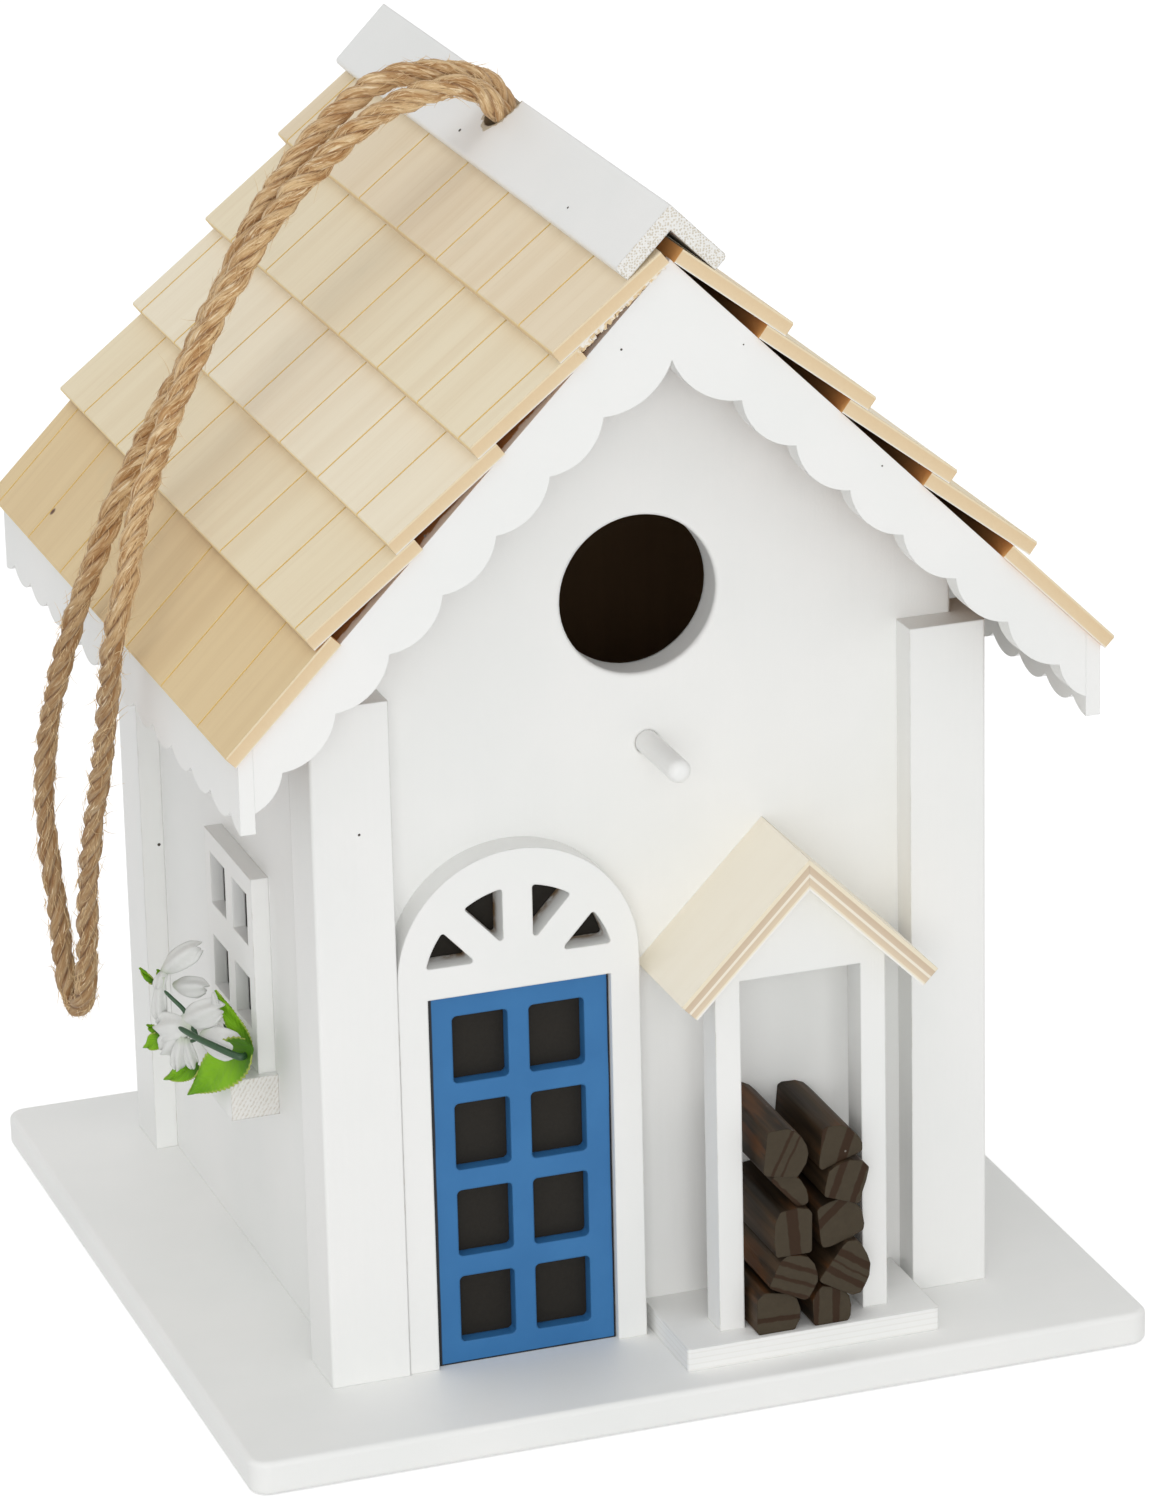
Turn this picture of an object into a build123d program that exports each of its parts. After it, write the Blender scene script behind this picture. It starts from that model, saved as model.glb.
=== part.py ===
"""Decorative wooden birdhouse: gabled box with a lapped shingle roof, a woodshed porch and a rope loop.

Millimetres. X is the width, the front faces -Y, Z is up.
The origin is the middle of the base's underside.
"""
import os
from math import asin, cos, dist, pi, radians, sin, tan

from build123d import *

os.makedirs("parts", exist_ok=True)

# Base board that everything stands on
base_width = 188.0
base_depth = 188.0
base_thick = 7.0
base_corner = 4.0
base_edge = 1.2

# Box of the house, nailed up from one board thickness
house_width = 129.2
house_depth = 128.0
front_margin = 34.0
wall_thick = 7.0
eave_height = 152.8
roof_pitch = 45.0

# Rabbeted posts that cover the four corners
post_width = 16.0
post_depth = 14.5
post_front_proud = 7.0
post_side_proud = 4.8
post_headroom = 6.6
post_edge = 0.7

# Roof boards and their overhang past the walls
roof_thick = 6.0
eave_overhang = 19.9
gable_overhang_front = 15.5
gable_overhang_back = 18.5

# Scalloped trims: gable boards at both ends, and a thinner strip along each eave that covers their ends
gable_trim_thick = 6.0
gable_drop_ridge = 16.0
gable_drop_eave = 11.2
gable_notch = 19.5
first_scallop = 13.8
gable_scallop = 10.85
gable_scallop_sag = 2.7
gable_tail_drop = 13.4
gable_tail_sag = 1.25
eave_trim_thick = 3.0
eave_trim_height = 12.0
eave_scallop = 13.4
eave_scallop_sag = 2.5

# Lapped shingle boards and the ridge cap on top of them
shingle_rows = 5
shingle_thick = 3.0
shingle_lap = 4.2
shingle_edge = 0.35
eave_row_length = 30.2
ridge_gap = 0.6
shingle_proud_end = 1.0
shingle_proud_eave = 0.8
groove_pitch = 25.0
groove_width = 0.6
groove_depth = 0.35
cap_leg = 15.8
cap_thick = 3.5
cap_proud = 0.5
cap_arris = 1.0

# Hanging rope and its hole through the ridge
rope_dia = 4.7
rope_hole_dia = 11.5
rope_setback = 69.0
knot_dia = 16.0

# Entry hole and perch
entry_dia = 32.0
entry_height = 153.4
entry_edge = 0.8
perch_dia = 4.8
perch_reach = 19.5
perch_height = 123.1
perch_offset = 1.2
perch_inset = 1.0

# Glazed door under a fanlight
door_width = 37.2
door_height = 78.5
door_thick = 3.0
door_stile = 5.0
door_rail = 4.5
muntin = 4.3
pane_corner = 1.0
surround_leg = 6.2
surround_thick = 6.5
arch_spring = 4.2
fan_sill = 2.4
fan_drop = 2.4
fan_radius = 19.6
fan_bar = 6.1
fan_lean = 43.0
fan_corner = 0.6
backing_thick = 2.0
fan_sheet = 0.4
backing_rebate = 2.5

# Woodshed porch
step_depth = 26.0
step_thick = 4.8
step_left_gap = 1.6
step_right_gap = 2.0
porch_setback = 5.7
porch_thick = 7.0
porch_bay = 25.2
porch_leg = 5.2
porch_ridge = 104.3
porch_rail = 6.6
canopy_thick = 4.5

# Firewood: split sticks, dropped in as they fell. Each has how far its end stands back, then the outline
# of its end, from the middle of the bay and the top of the step, for a bay as wide as stick_bay
stick_bay = 25.2
stick_arris = 0.7
log_length = 25.6
sticks = [
    (
        0.9,
        [
            (-11.6, 0.33), (-11.1, 0.03), (-3.7, 0.03), (-2.6, 2.23), (-2.5, 4.43), (-3.2, 6.63),
            (-5, 8.03), (-9.9, 8.93), (-11.6, 7.63),
        ],
    ),
    (
        0,
        [
            (-9.4, 10.46), (-8.7, 9.86), (-2, 6.56), (-1.1, 6.66), (0.1, 8.56), (0.9, 10.16),
            (0.9, 11.76), (0.2, 14.06), (-1, 15.56), (-2.7, 16.26), (-5.5, 16.56), (-7, 15.46),
        ],
    ),
    (
        0,
        [
            (-7.8, 16.57), (-0.3, 16.57), (-0.15, 24.97), (-0.8, 25.97), (-3.3, 26.57),
            (-6.8, 26.17), (-7.9, 24.17), (-8.2, 20.37),
        ],
    ),
    (
        0.9,
        [
            (-2.9, 26.44), (-1.8, 26.49), (-0.6, 26.89), (-0.6, 28.39), (-1, 29.99), (-2.2, 32.19),
            (-3.6, 33.19), (-7.2, 33.79), (-8.7, 33.09),
        ],
    ),
    (
        0,
        [
            (-10.3, 35.24), (-9.7, 34.34), (-3.2, 33.14), (-2.3, 34.34), (-1.25, 35.94),
            (-0.8, 37.94), (-1.2, 39.74), (-2.2, 41.64), (-3.5, 42.94), (-5.1, 43.79),
            (-9.3, 43.64), (-9.8, 39.44),
        ],
    ),
    (
        0.9,
        [
            (0.3, 0.03), (7.6, 0.03), (8.1, 1.03), (8.3, 3.23), (7.9, 5.43), (6.6, 6.73),
            (4.7, 7.73), (2.2, 8.43), (0.9, 7.13), (0.2, 5.63),
        ],
    ),
    (
        0,
        [
            (1.25, 9.88), (8.2, 5.83), (10.1, 6.13), (11.2, 8.13), (11.85, 9.58), (12.1, 12.08),
            (11.45, 14.18), (10.4, 16.28), (9.5, 17.53), (7.45, 17.68), (6.3, 16.78), (1.6, 10.68),
        ],
    ),
    (
        0.9,
        [
            (2.3, 16.67), (3.9, 16.67), (8.2, 17.87), (11, 19.17), (11.2, 20.47), (10.8, 23.07),
            (10, 24.57), (8.3, 25.87), (5.8, 26.57), (4, 26.27), (1.9, 25.47), (1.3, 24.87),
            (1.5, 22.47), (1.9, 18.57),
        ],
    ),
    (
        0,
        [
            (2.45, 28.02), (10, 25.27), (10.5, 27.77), (11.35, 30.22), (12, 32.92), (10.5, 34.42),
            (8, 35.02), (5, 34.22), (3.5, 33.22), (2.7, 29.92),
        ],
    ),
    (
        0.9,
        [
            (2, 33.27), (10.9, 36.17), (10.9, 37.97), (10.1, 39.47), (9, 40.67), (8, 41.67),
            (6.3, 42.37), (3.4, 42.47), (2.5, 41.97), (1.8, 34.77),
        ],
    ),
]

# Side windows, their planter boxes and the flowers
window_setback = 58.0
window_thick = 3.7
window_backing = 1.0
window_rebate = 1.6
pane_width = 10.5
pane_height = 11.0
window_stile = 3.5
window_mullion = 5.0
window_transom = 7.0
window_top_rail = 4.3
window_bottom_rail = 8.5
planter_length = 36.0
planter_depth = 10.0
planter_thick = 8.6
planter_height = 48.0
stem_dia = 1.8
stem_reach = 12.0
leaf_length = 16.0
leaf_width = 9.0
leaf_thick = 0.8
petal_size = 3.2
petal_thick = 1.2

# Clean-out flap in the back wall, on two nails, with its turn button
flap_width = 60.0
flap_height = 70.0
flap_sill = 10.0
flap_gap = 0.7
pin_dia = 2.4
pin_grip = 9.0
pin_head = 2.0
button_length = 24.0
button_width = 8.0
button_thick = 3.5
button_inset = 8.0
button_rise = 16.0
screw_dia = 3.0
screw_head_dia = 6.4
screw_head = 1.8
screw_depth = 5.5

# Fits
running_fit = 0.05
lap_gap = 0.03
glue_gap = 0.05
slip_gap = 0.2
button_gap = 0.3

# Places worked out from the sizes above
pitch = radians(roof_pitch)
floor_z = base_thick
house_x = house_width / 2
front_y = front_margin - base_depth / 2
back_y = front_y + house_depth
inside_front_y = front_y + wall_thick
inside_back_y = back_y - wall_thick
eave_z = floor_z + eave_height
peak_z = eave_z + house_x * tan(pitch)
ridge_z = peak_z + roof_thick / cos(pitch)
roof_x = house_x + eave_overhang
trim_x = roof_x + eave_trim_thick
roof_front_y = front_y - gable_overhang_front
roof_back_y = back_y + gable_overhang_back
trim_front_y = roof_front_y - gable_trim_thick
trim_back_y = roof_back_y + gable_trim_thick
post_x = house_x + post_side_proud
post_inner_x = post_x - post_width
post_top = peak_z - post_x * tan(pitch) - post_headroom
hang_y = front_y + rope_setback


def upright(y):
    """Sketch plane facing the front at depth y: its x is X and its y is Z."""
    return Plane(origin=(0, y, 0), x_dir=(1, 0, 0), z_dir=(0, -1, 0))


def sideways(x):
    """Sketch plane facing right at x: its x is Y and its y is Z."""
    return Plane(origin=(x, 0, 0), x_dir=(0, 1, 0), z_dir=(1, 0, 0))


def on_slope(side, along, out):
    """X and Z of a point on a roof slope: distance down from the ridge, and out from the roof board."""
    across = along * cos(pitch) + out * sin(pitch)
    return (side * across, ridge_z - along * sin(pitch) + out * cos(pitch))


def save(piece, name):
    piece.part.label = name
    export_step(piece.part, f"parts/{name}.step")


# Base board: one plank with softened corners and edges
with BuildPart() as base_board:
    with BuildSketch():
        RectangleRounded(base_width, base_depth, base_corner)
    extrude(amount=base_thick)
    flat_faces = base_board.faces().filter_by(Axis.Z)
    fillet(flat_faces.edges(), base_edge)
save(base_board, "base_board")

# Gable walls: five-sided, up to the underside of the roof boards
gable_outline = [
    (-house_x, floor_z),
    (house_x, floor_z),
    (house_x, eave_z),
    (0, peak_z),
    (-house_x, eave_z),
]
entry_z = floor_z + entry_height
perch_z = floor_z + perch_height

with BuildPart() as front_wall:
    with BuildSketch(upright(front_y)):
        with BuildLine():
            Polyline(*gable_outline, close=True)
        make_face()
    extrude(amount=-wall_thick)
    with Locations(upright(front_y).location * Location((0, entry_z, 0))):
        Hole(entry_dia / 2, depth=wall_thick)
    entry_rim = front_wall.edges().filter_by(GeomType.CIRCLE).sort_by(Axis.Y)[0]
    fillet(entry_rim, entry_edge)
    with Locations(upright(front_y).location * Location((perch_offset, perch_z, 0))):
        Hole(perch_dia / 2 + glue_gap, depth=wall_thick)
save(front_wall, "front_wall")

# Clean-out flap: a rounded top edge turns about two nails driven in from the wall's edges
flap_x = flap_width / 2
flap_bottom_z = floor_z + flap_sill
flap_top_z = flap_bottom_z + flap_height
flap_y = back_y - wall_thick / 2
flap_round = wall_thick / 2
pivot_z = flap_top_z - flap_gap - flap_round
button_x = flap_x + button_inset
button_z = flap_bottom_z + button_rise

with BuildPart() as back_wall:
    with BuildSketch(upright(inside_back_y)):
        with BuildLine():
            Polyline(*gable_outline, close=True)
        make_face()
        with Locations((0, (flap_bottom_z + flap_top_z) / 2)):
            Rectangle(flap_width, flap_height, mode=Mode.SUBTRACT)
    extrude(amount=-wall_thick)
    with Locations(Location((0, flap_y, pivot_z), (0, 90, 0))):
        Cylinder(pin_dia / 2 + running_fit, house_width, mode=Mode.SUBTRACT)
    with Locations(Location((button_x, back_y, button_z), (-90, 0, 0))):
        Hole(screw_dia / 2 + glue_gap, depth=screw_depth + glue_gap)
save(back_wall, "back_wall")

with BuildPart() as cleanout_door:
    with BuildSketch(sideways(-flap_x + flap_gap)):
        with BuildLine():
            low_z = flap_bottom_z + flap_gap
            Polyline(
                (back_y - wall_thick, pivot_z),
                (back_y - wall_thick, low_z),
                (back_y, low_z),
                (back_y, pivot_z),
            )
            ThreePointArc((back_y, pivot_z), (flap_y, pivot_z + flap_round), (back_y - wall_thick, pivot_z))
        make_face()
    extrude(amount=flap_width - 2 * flap_gap)
    with Locations(Location((0, flap_y, pivot_z), (0, 90, 0))):
        Cylinder(pin_dia / 2 + running_fit, flap_width, mode=Mode.SUBTRACT)
save(cleanout_door, "cleanout_door")

with BuildPart() as cleanout_pins:
    with BuildSketch(sideways(flap_x - pin_grip)):
        with Locations((flap_y, pivot_z)):
            Circle(pin_dia / 2)
    extrude(amount=house_x - pin_head - flap_x + pin_grip)
    mirror(about=Plane.YZ)
save(cleanout_pins, "cleanout_pins")

with BuildPart() as turn_button:
    with BuildSketch(upright(back_y + button_gap)):
        with Locations((button_x, button_z)):
            SlotOverall(button_length, button_width, rotation=90)
            Circle(screw_dia / 2 + running_fit, mode=Mode.SUBTRACT)
    extrude(amount=-button_thick)
save(turn_button, "turn_button")

with BuildPart() as button_screw:
    head_y = back_y + button_gap + button_thick + running_fit
    with BuildSketch(upright(back_y - screw_depth)):
        with Locations((button_x, button_z)):
            Circle(screw_dia / 2)
    extrude(amount=-(head_y - back_y + screw_depth))
    with BuildSketch(upright(head_y)):
        with Locations((button_x, button_z)):
            Circle(screw_head_dia / 2)
    extrude(amount=-screw_head)
    fillet(button_screw.edges().sort_by(Axis.Y)[-1], screw_head / 2)
save(button_screw, "button_screw")


# Side walls: between the gable walls, tops bevelled to the roof's pitch
def side_wall(side):
    inner_x = house_x - wall_thick
    with BuildPart() as wall:
        with BuildSketch(upright(inside_front_y)):
            with BuildLine():
                Polyline(
                    (side * house_x, floor_z),
                    (side * house_x, eave_z),
                    (side * inner_x, eave_z + wall_thick * tan(pitch)),
                    (side * inner_x, floor_z),
                    close=True,
                )
            make_face()
        extrude(amount=inside_front_y - inside_back_y)
    return wall


save(side_wall(-1), "left_wall")
save(side_wall(1), "right_wall")


# Corner posts: square stock rabbeted over the corner of the box, tops cut level below the eaves
def corner_post(side, wall_y, outward):
    outer_y = wall_y + outward * post_front_proud
    inner_y = outer_y - outward * post_depth
    with BuildPart() as post:
        with BuildSketch(Plane.XY.offset(floor_z)):
            with BuildLine():
                Polyline(
                    (side * post_inner_x, outer_y),
                    (side * post_x, outer_y),
                    (side * post_x, inner_y),
                    (side * house_x, inner_y),
                    (side * house_x, wall_y),
                    (side * post_inner_x, wall_y),
                    close=True,
                )
            make_face()
        extrude(amount=post_top - floor_z)
        corner = (side * post_x, outer_y, post_top / 2)
        outer_edge = post.edges().filter_by(Axis.Z).sort_by_distance(corner)[0]
        fillet(outer_edge, post_edge)
    return post


save(corner_post(-1, front_y, -1), "post_front_left")
save(corner_post(1, front_y, -1), "post_front_right")
save(corner_post(-1, back_y, 1), "post_back_left")
save(corner_post(1, back_y, 1), "post_back_right")


# Roof boards: mitred at the ridge, cut plumb at the eaves, with half of the rope's hole in each
def roof_panel(side):
    with BuildPart() as panel:
        with BuildSketch(upright(roof_front_y)):
            with BuildLine():
                Polyline(
                    (0, peak_z),
                    (0, ridge_z),
                    (side * roof_x, ridge_z - roof_x * tan(pitch)),
                    (side * roof_x, peak_z - roof_x * tan(pitch)),
                    close=True,
                )
            make_face()
        extrude(amount=roof_front_y - roof_back_y)
        with Locations((0, hang_y, ridge_z)):
            Cylinder(rope_hole_dia / 2, ridge_z, mode=Mode.SUBTRACT)
    return panel


save(roof_panel(-1), "roof_panel_left")
save(roof_panel(1), "roof_panel_right")


# Gable trims: one cut board across each end of the roof, its lower edge scalloped, with a tail at each end
def gable_cusp(x):
    drop = gable_drop_ridge + (gable_drop_eave - gable_drop_ridge) * x / trim_x
    return (x, ridge_z - x * tan(pitch) - drop)


whole_scallops = int((trim_x - first_scallop) / gable_scallop - 0.3)
gable_cusps = [(0, ridge_z - gable_notch)]
for step in range(whole_scallops + 1):
    gable_cusps.append(gable_cusp(first_scallop + step * gable_scallop))
gable_sags = [gable_scallop_sag] * (whole_scallops + 1) + [gable_tail_sag]
gable_cusps.append((roof_x, ridge_z - roof_x * tan(pitch) - gable_tail_drop))


def gable_trim(y):
    with BuildPart() as trim:
        with BuildSketch(upright(y)):
            with BuildLine():
                corner_z = ridge_z - roof_x * tan(pitch)
                Polyline((0, gable_cusps[0][1]), (0, ridge_z), (roof_x, corner_z), gable_cusps[-1])
                for start, end, sag in zip(gable_cusps, gable_cusps[1:], gable_sags):
                    sag_x = (start[0] + end[0]) / 2 - sag * sin(pitch)
                    sag_z = (start[1] + end[1]) / 2 - sag * cos(pitch)
                    ThreePointArc(start, (sag_x, sag_z), end)
            make_face()
            mirror(about=Plane.YZ)
        extrude(amount=-gable_trim_thick)
    return trim


save(gable_trim(trim_front_y), "gable_trim_front")
save(gable_trim(roof_back_y), "gable_trim_back")


# Eave trims: thin strips on the ends of the roof boards and gable trims, bevelled on top and scalloped below
def eave_trim(side):
    trim_length = trim_back_y - trim_front_y
    count = round(trim_length / eave_scallop)
    step = trim_length / count
    cusp_z = ridge_z - trim_x * tan(pitch) - eave_trim_height
    low_z = cusp_z - eave_scallop_sag
    with BuildPart() as trim:
        with BuildSketch(upright(trim_front_y)):
            with BuildLine():
                Polyline(
                    (side * roof_x, low_z),
                    (side * roof_x, ridge_z - roof_x * tan(pitch)),
                    (side * trim_x, ridge_z - trim_x * tan(pitch)),
                    (side * trim_x, low_z),
                    close=True,
                )
            make_face()
        extrude(amount=-trim_length)
        with BuildSketch(sideways(side * roof_x)):
            with BuildLine():
                waste_z = low_z - eave_scallop_sag
                first_y = trim_front_y - step / 2
                last_y = trim_back_y + step / 2
                Polyline((first_y, cusp_z), (first_y, waste_z), (last_y, waste_z), (last_y, cusp_z))
                for number in range(count + 1):
                    start_y = first_y + number * step
                    ThreePointArc((start_y, cusp_z), (start_y + step / 2, low_z), (start_y + step, cusp_z))
            make_face()
        extrude(amount=side * eave_trim_thick, mode=Mode.SUBTRACT)
    return trim


save(eave_trim(-1), "eave_trim_left")
save(eave_trim(1), "eave_trim_right")

# Shingles: each slope has boards that lap the one below; only the eave row lies flat on the roof board
eave_along = trim_x / cos(pitch) + shingle_proud_eave
row_pitch = (eave_along - eave_row_length - ridge_gap) / (shingle_rows - 1)
row_length = row_pitch + shingle_lap
row_tilt = asin((shingle_thick + lap_gap) / row_pitch)
shingle_front_y = trim_front_y - shingle_proud_end
shingle_back_y = trim_back_y + shingle_proud_end


def shingle(side, row):
    last = row == shingle_rows
    tilt = 0 if last else row_tilt
    length = eave_row_length if last else row_length
    top_along = ridge_gap + (row - 1) * row_pitch

    def corner(along, out):
        return on_slope(
            side,
            top_along + along * cos(tilt) - out * sin(tilt),
            along * sin(tilt) + out * cos(tilt),
        )

    middle_x, middle_z = corner(length / 2, shingle_thick)
    below_x, below_z = corner(length / 2, 0)
    middle_y = (shingle_front_y + shingle_back_y) / 2
    face = Plane(
        origin=(middle_x, middle_y, middle_z),
        x_dir=(0, 1, 0),
        z_dir=(middle_x - below_x, 0, middle_z - below_z),
    )
    count = round((shingle_back_y - shingle_front_y) / groove_pitch)
    stagger = groove_pitch / 4 if row % 2 else -groove_pitch / 4
    with BuildPart() as board:
        with BuildSketch(upright(shingle_front_y)):
            with BuildLine():
                Polyline(
                    corner(0, 0),
                    corner(length, 0),
                    corner(length, shingle_thick - shingle_edge),
                    corner(length - shingle_edge, shingle_thick),
                    corner(0, shingle_thick),
                    close=True,
                )
            make_face()
        extrude(amount=shingle_front_y - shingle_back_y)
        with BuildSketch(face):
            for number in range(count):
                with Locations(((number - (count - 1) / 2) * groove_pitch + stagger, 0)):
                    Rectangle(groove_width, 2 * length)
        extrude(amount=-groove_depth, mode=Mode.SUBTRACT)
        with Locations((0, hang_y, ridge_z)):
            Cylinder(rope_hole_dia / 2, ridge_z, mode=Mode.SUBTRACT)
    return board


for row in range(1, shingle_rows + 1):
    save(shingle(-1, row), f"shingle_left_{row}")
    save(shingle(1, row), f"shingle_right_{row}")

# Ridge cap: two strips glued to an angle, the inner corner of each foot resting on the top shingles
cap_seat = cap_thick + lap_gap + shingle_thick / cos(row_tilt) + (cap_leg - ridge_gap) * tan(row_tilt)
cap_rise = cap_seat / (cos(pitch) + sin(pitch) * tan(row_tilt))
cap_z = ridge_z + cap_rise
cap_front_y = trim_front_y - cap_proud
cap_back_y = trim_back_y + cap_proud

with BuildPart() as ridge_cap:
    with BuildSketch(upright(cap_front_y)) as cap_section:
        with BuildLine():
            foot_along = cap_leg - cap_rise * sin(pitch)
            foot_out = cap_rise * cos(pitch)
            Polyline(
                (0, cap_z - cap_thick / cos(pitch)),
                (0, cap_z),
                on_slope(1, foot_along, foot_out),
                on_slope(1, foot_along, foot_out - cap_thick),
                close=True,
            )
        make_face()
        mirror(about=Plane.YZ)
        corners = cap_section.vertices().sort_by(Axis.X)
        fillet((corners[0], corners[-1]), cap_arris)
    extrude(amount=cap_front_y - cap_back_y)
    with Locations((0, hang_y, cap_z)):
        Cylinder(rope_hole_dia / 2, cap_z, mode=Mode.SUBTRACT)
save(ridge_cap, "ridge_cap")

# Hanging rope: a doubled loop that comes up through the ridge, flops over the left slope
# and hangs past the eave; both ends go into one knot under the roof boards
knot_z = peak_z - (knot_dia / 2 + glue_gap) / cos(pitch)
rope_points = [
    (0.0, 11.6, 221.5),
    (0.5, 11.5, 236.0),
    (0.2, 11.6, 249.3),
    (-13.5, 12.2, 250.6),
    (-29.0, 13.2, 247.0),
    (-51.2, 13.0, 227.1),
    (-67.2, 10.6, 201.4),
    (-82.8, 8.5, 177.0),
    (-94.8, 6.8, 156.4),
    (-99.2, 8.4, 138.5),
    (-100.6, 13.5, 121.0),
    (-100.6, 18.4, 102.0),
    (-99.2, 20.6, 79.6),
    (-97.7, 20.2, 59.2),
    (-94.9, 10.2, 59.8),
    (-95.1, 8.8, 76.0),
    (-95.6, 2.6, 93.0),
    (-95.8, -5.4, 112.0),
    (-96.6, -14.6, 133.0),
    (-97.0, -21.8, 151.2),
    (-94.2, -22.0, 164.4),
    (-86.8, -13.4, 174.0),
    (-77.3, -3.0, 185.8),
    (-67.8, 4.2, 201.2),
    (-50.0, 6.6, 223.6),
    (-30.0, 6.6, 242.4),
    (-14.0, 6.4, 247.6),
    (-0.2, 6.4, 246.8),
    (0.3, 6.5, 234.0),
    (0.0, 6.4, 221.5),
]


def bend_radius(before, at, after):
    """Radius whose tangent arc uses 0.45 of the shorter run next to a point of the route."""
    back = (Vector(before) - Vector(at)).normalized()
    ahead = (Vector(after) - Vector(at)).normalized()
    half_turn = radians(180 - back.get_angle(ahead)) / 2
    return 0.45 * min(dist(before, at), dist(at, after)) / tan(half_turn)


rope_radii = []
for before, at, after in zip(rope_points, rope_points[1:], rope_points[2:]):
    rope_radii.append(bend_radius(before, at, after))

with BuildPart() as hanging_rope:
    with BuildLine() as rope_route:
        FilletPolyline(*rope_points, radius=rope_radii)
    with BuildSketch(Plane(origin=rope_points[0], z_dir=(Vector(rope_points[1]) - Vector(rope_points[0])))):
        Circle(rope_dia / 2)
    sweep()
save(hanging_rope, "hanging_rope")
rope_length = rope_route.wire().length
print("rope length", round(rope_length, 1), "radii", [round(radius, 1) for radius in rope_radii])
print("rope volume", hanging_rope.part.volume, "section x length", pi * rope_dia**2 / 4 * rope_length)

with BuildPart() as rope_knot:
    with Locations((0, hang_y, knot_z)):
        Sphere(knot_dia / 2)
save(rope_knot, "rope_knot")

# Perch: a short dowel with a rounded tip
with BuildPart() as perch:
    with BuildSketch(upright(front_y - perch_reach)):
        with Locations((perch_offset, perch_z)):
            Circle(perch_dia / 2)
    extrude(amount=perch_inset - perch_reach - wall_thick)
    fillet(perch.edges().sort_by(Axis.Y)[0], 0.4 * perch_dia)
save(perch, "perch")

# Door: surround with a fanlight cut through it, glazed panel inside it, dark sheet behind both.
# The sheet is doubled behind the panel, so the fanlight is the deeper of the two
arch_radius = door_width / 2 + surround_leg
door_x = -post_inner_x + slip_gap + arch_radius
door_top_z = floor_z + door_height
arch_z = door_top_z + arch_spring
surround_y = front_y - surround_thick
backing_x = door_width / 2 + backing_rebate


def arched_face(half_width):
    """Upright door shape about the door's middle: straight legs under a half round."""
    with Locations((door_x, floor_z)):
        Rectangle(2 * half_width, arch_z - floor_z, align=(Align.CENTER, Align.MIN))
    with Locations((door_x, arch_z)):
        Circle(half_width)


with BuildPart() as door_surround:
    with BuildSketch(upright(surround_y)):
        arched_face(arch_radius)
        with Locations((door_x, floor_z)):
            Rectangle(
                door_width + 2 * slip_gap,
                door_height + slip_gap,
                align=(Align.CENTER, Align.MIN),
                mode=Mode.SUBTRACT,
            )
    extrude(amount=-surround_thick)
    with BuildSketch(upright(surround_y)) as fan_lights:
        with Locations((door_x, arch_z - fan_drop)):
            Circle(fan_radius)
            for turn in (-fan_lean, 0, fan_lean):
                Rectangle(fan_bar, 3 * fan_radius, rotation=turn, mode=Mode.SUBTRACT)
        with Locations((door_x, arch_z + fan_sill)):
            Rectangle(
                3 * fan_radius,
                3 * fan_radius,
                align=(Align.CENTER, Align.MAX),
                mode=Mode.SUBTRACT,
            )
        fillet(fan_lights.vertices(), fan_corner)
    extrude(amount=-surround_thick, mode=Mode.SUBTRACT)
    with BuildSketch(upright(front_y - fan_sheet)):
        arched_face(backing_x)
    extrude(amount=-fan_sheet, mode=Mode.SUBTRACT)
    with BuildSketch(upright(front_y - backing_thick)):
        with Locations((door_x, floor_z)):
            Rectangle(2 * backing_x, door_height + backing_rebate, align=(Align.CENTER, Align.MIN))
    extrude(amount=-backing_thick, mode=Mode.SUBTRACT)
save(door_surround, "door_surround")

with BuildPart() as door_backing:
    with BuildSketch(upright(front_y - fan_sheet)):
        arched_face(backing_x - slip_gap)
    extrude(amount=-fan_sheet)
    with BuildSketch(upright(front_y - backing_thick)):
        with Locations((door_x, floor_z)):
            Rectangle(
                2 * (backing_x - slip_gap),
                door_height + backing_rebate - slip_gap,
                align=(Align.CENTER, Align.MIN),
            )
    extrude(amount=-backing_thick)
save(door_backing, "door_backing")

door_pane_width = (door_width - 2 * door_stile - muntin) / 2
door_pane_height = (door_height - 2 * door_rail - 3 * muntin) / 4
with BuildPart() as door_panel:
    with BuildSketch(upright(front_y - backing_thick - door_thick)):
        with Locations((door_x, floor_z + door_height / 2)):
            Rectangle(door_width, door_height)
            with GridLocations(door_pane_width + muntin, door_pane_height + muntin, 2, 4):
                RectangleRounded(door_pane_width, door_pane_height, pane_corner, mode=Mode.SUBTRACT)
    extrude(amount=-door_thick)
save(door_panel, "door_panel")

# Porch: a step between the door and the right post, a one-board frame and a mitred plywood canopy
step_left_x = door_x + arch_radius + step_left_gap
step_right_x = post_inner_x - step_right_gap
porch_x = (step_left_x + step_right_x) / 2
porch_half = (step_right_x - step_left_x) / 2
step_z = floor_z + step_thick
canopy_z = floor_z + porch_ridge
canopy_under_z = canopy_z - canopy_thick / cos(pitch)
porch_y = front_y - step_depth + porch_setback
bay_half = porch_bay / 2
frame_half = bay_half + porch_leg
bay_top_z = canopy_under_z - bay_half * tan(pitch) - porch_rail

with BuildPart() as porch_step:
    with BuildSketch(Plane.XY.offset(floor_z)):
        with Locations((porch_x, front_y)):
            Rectangle(2 * porch_half, step_depth, align=(Align.CENTER, Align.MAX))
    extrude(amount=step_thick)
    front_corners = porch_step.edges().filter_by(Axis.Z).group_by(Axis.Y)[0]
    fillet(front_corners, post_edge)
save(porch_step, "porch_step")

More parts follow.
